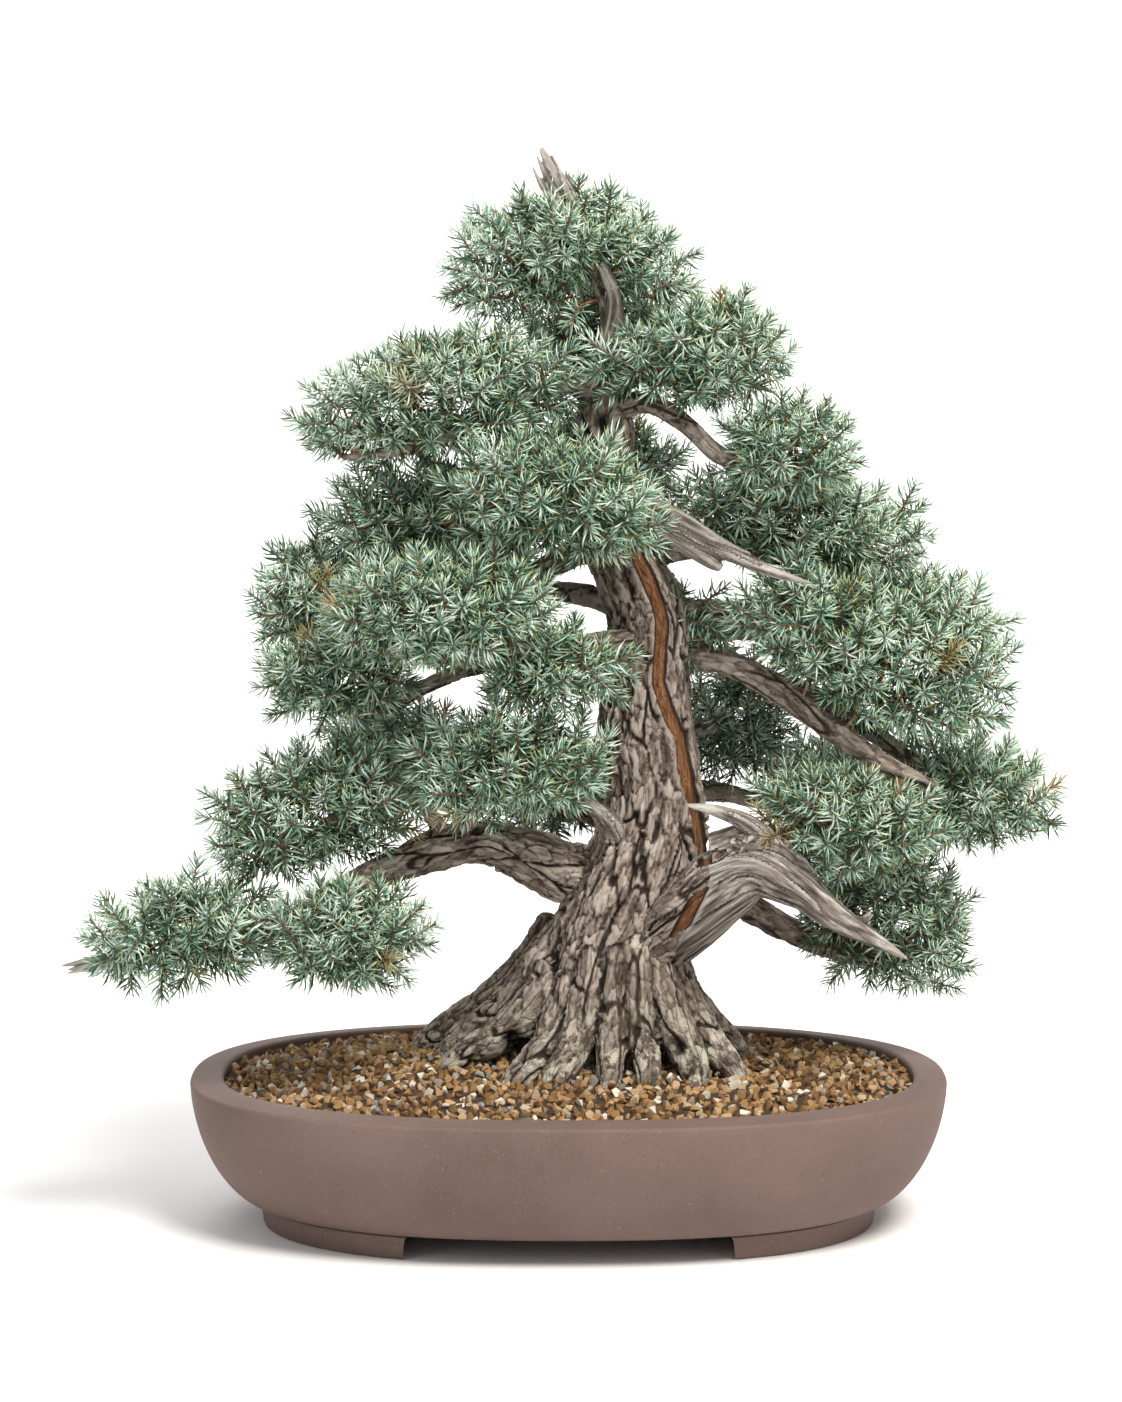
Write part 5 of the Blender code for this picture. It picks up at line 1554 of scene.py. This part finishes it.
def build_stage():
    """A white sweep: floor and wall in one curved sheet."""
    made, _, shader = new_material("matt_white_sweep")
    shader.inputs["Base Color"].default_value = linear("#F4F3F1")
    shader.inputs["Roughness"].default_value = 0.95
    shader.inputs["Specular IOR Level"].default_value = 0.1
    profile = [(SWEEP_NEAR, 0.0), (SWEEP_BEND_AT, 0.0)]
    for step in range(1, 13):
        angle = pi / 2 * step / 12
        profile.append((SWEEP_BEND_AT + SWEEP_BEND * sin(angle), SWEEP_BEND * (1 - cos(angle))))
    profile.append((SWEEP_BEND_AT + SWEEP_BEND, SWEEP_TOP))
    bm = bmesh.new()
    rows = [[bm.verts.new((x, y, z - 0.2 * MM)) for x in (-SWEEP_HALF_WIDTH, SWEEP_HALF_WIDTH)]
            for y, z in profile]
    for low, high in zip(rows, rows[1:]):
        bm.faces.new((low[0], low[1], high[1], high[0]))
    mesh = baked(bm, "sweep")
    mesh.shade_smooth()
    mesh.materials.append(made)
    show("sweep", mesh)


def area_light(name, place, target, size, power, colour):
    data = bpy.data.lights.new(name, "AREA")
    data.shape = "DISK"
    data.size = size
    data.energy = power
    data.color = linear(colour)[:3]
    obj = show(name, data)
    obj.location = place
    obj.rotation_euler = (Vector(target) - Vector(place)).to_track_quat("-Z", "Y").to_euler()


def build_lights():
    for light in LIGHTS:
        area_light(*light)
    world = bpy.data.worlds.new("soft_white_room")
    world.use_nodes = True
    background = world.node_tree.nodes["Background"]
    background.inputs["Color"].default_value = linear("#F7F8FA")
    background.inputs["Strength"].default_value = ROOM_LIGHT
    bpy.context.scene.world = world


def build_camera():
    data = bpy.data.cameras.new("camera")
    data.sensor_fit = "AUTO"
    data.sensor_width = 36
    data.lens = LENS_MM
    camera = show("camera", data)
    camera.location = CAMERA_PLACE
    camera.rotation_euler = (CAMERA_TILT, 0, 0)
    bpy.context.scene.camera = camera


bpy.context.scene.view_settings.view_transform = "Standard"
MATERIALS = {"wood": wood_material(), "twigs": twig_material(), "needles": needle_material(),
             "stoneware": stoneware_material(), "grit": grit_material(), "bed": grit_bed_and_gap_shade_material(),
             "plastic": plastic_material(), "wire": wire_material()}

build_camera()
build_stage()
build_lights()
build_pot()
build_grit()
paint_cad_nodes()
wood_paths = build_wood()
build_foliage(wood_paths)
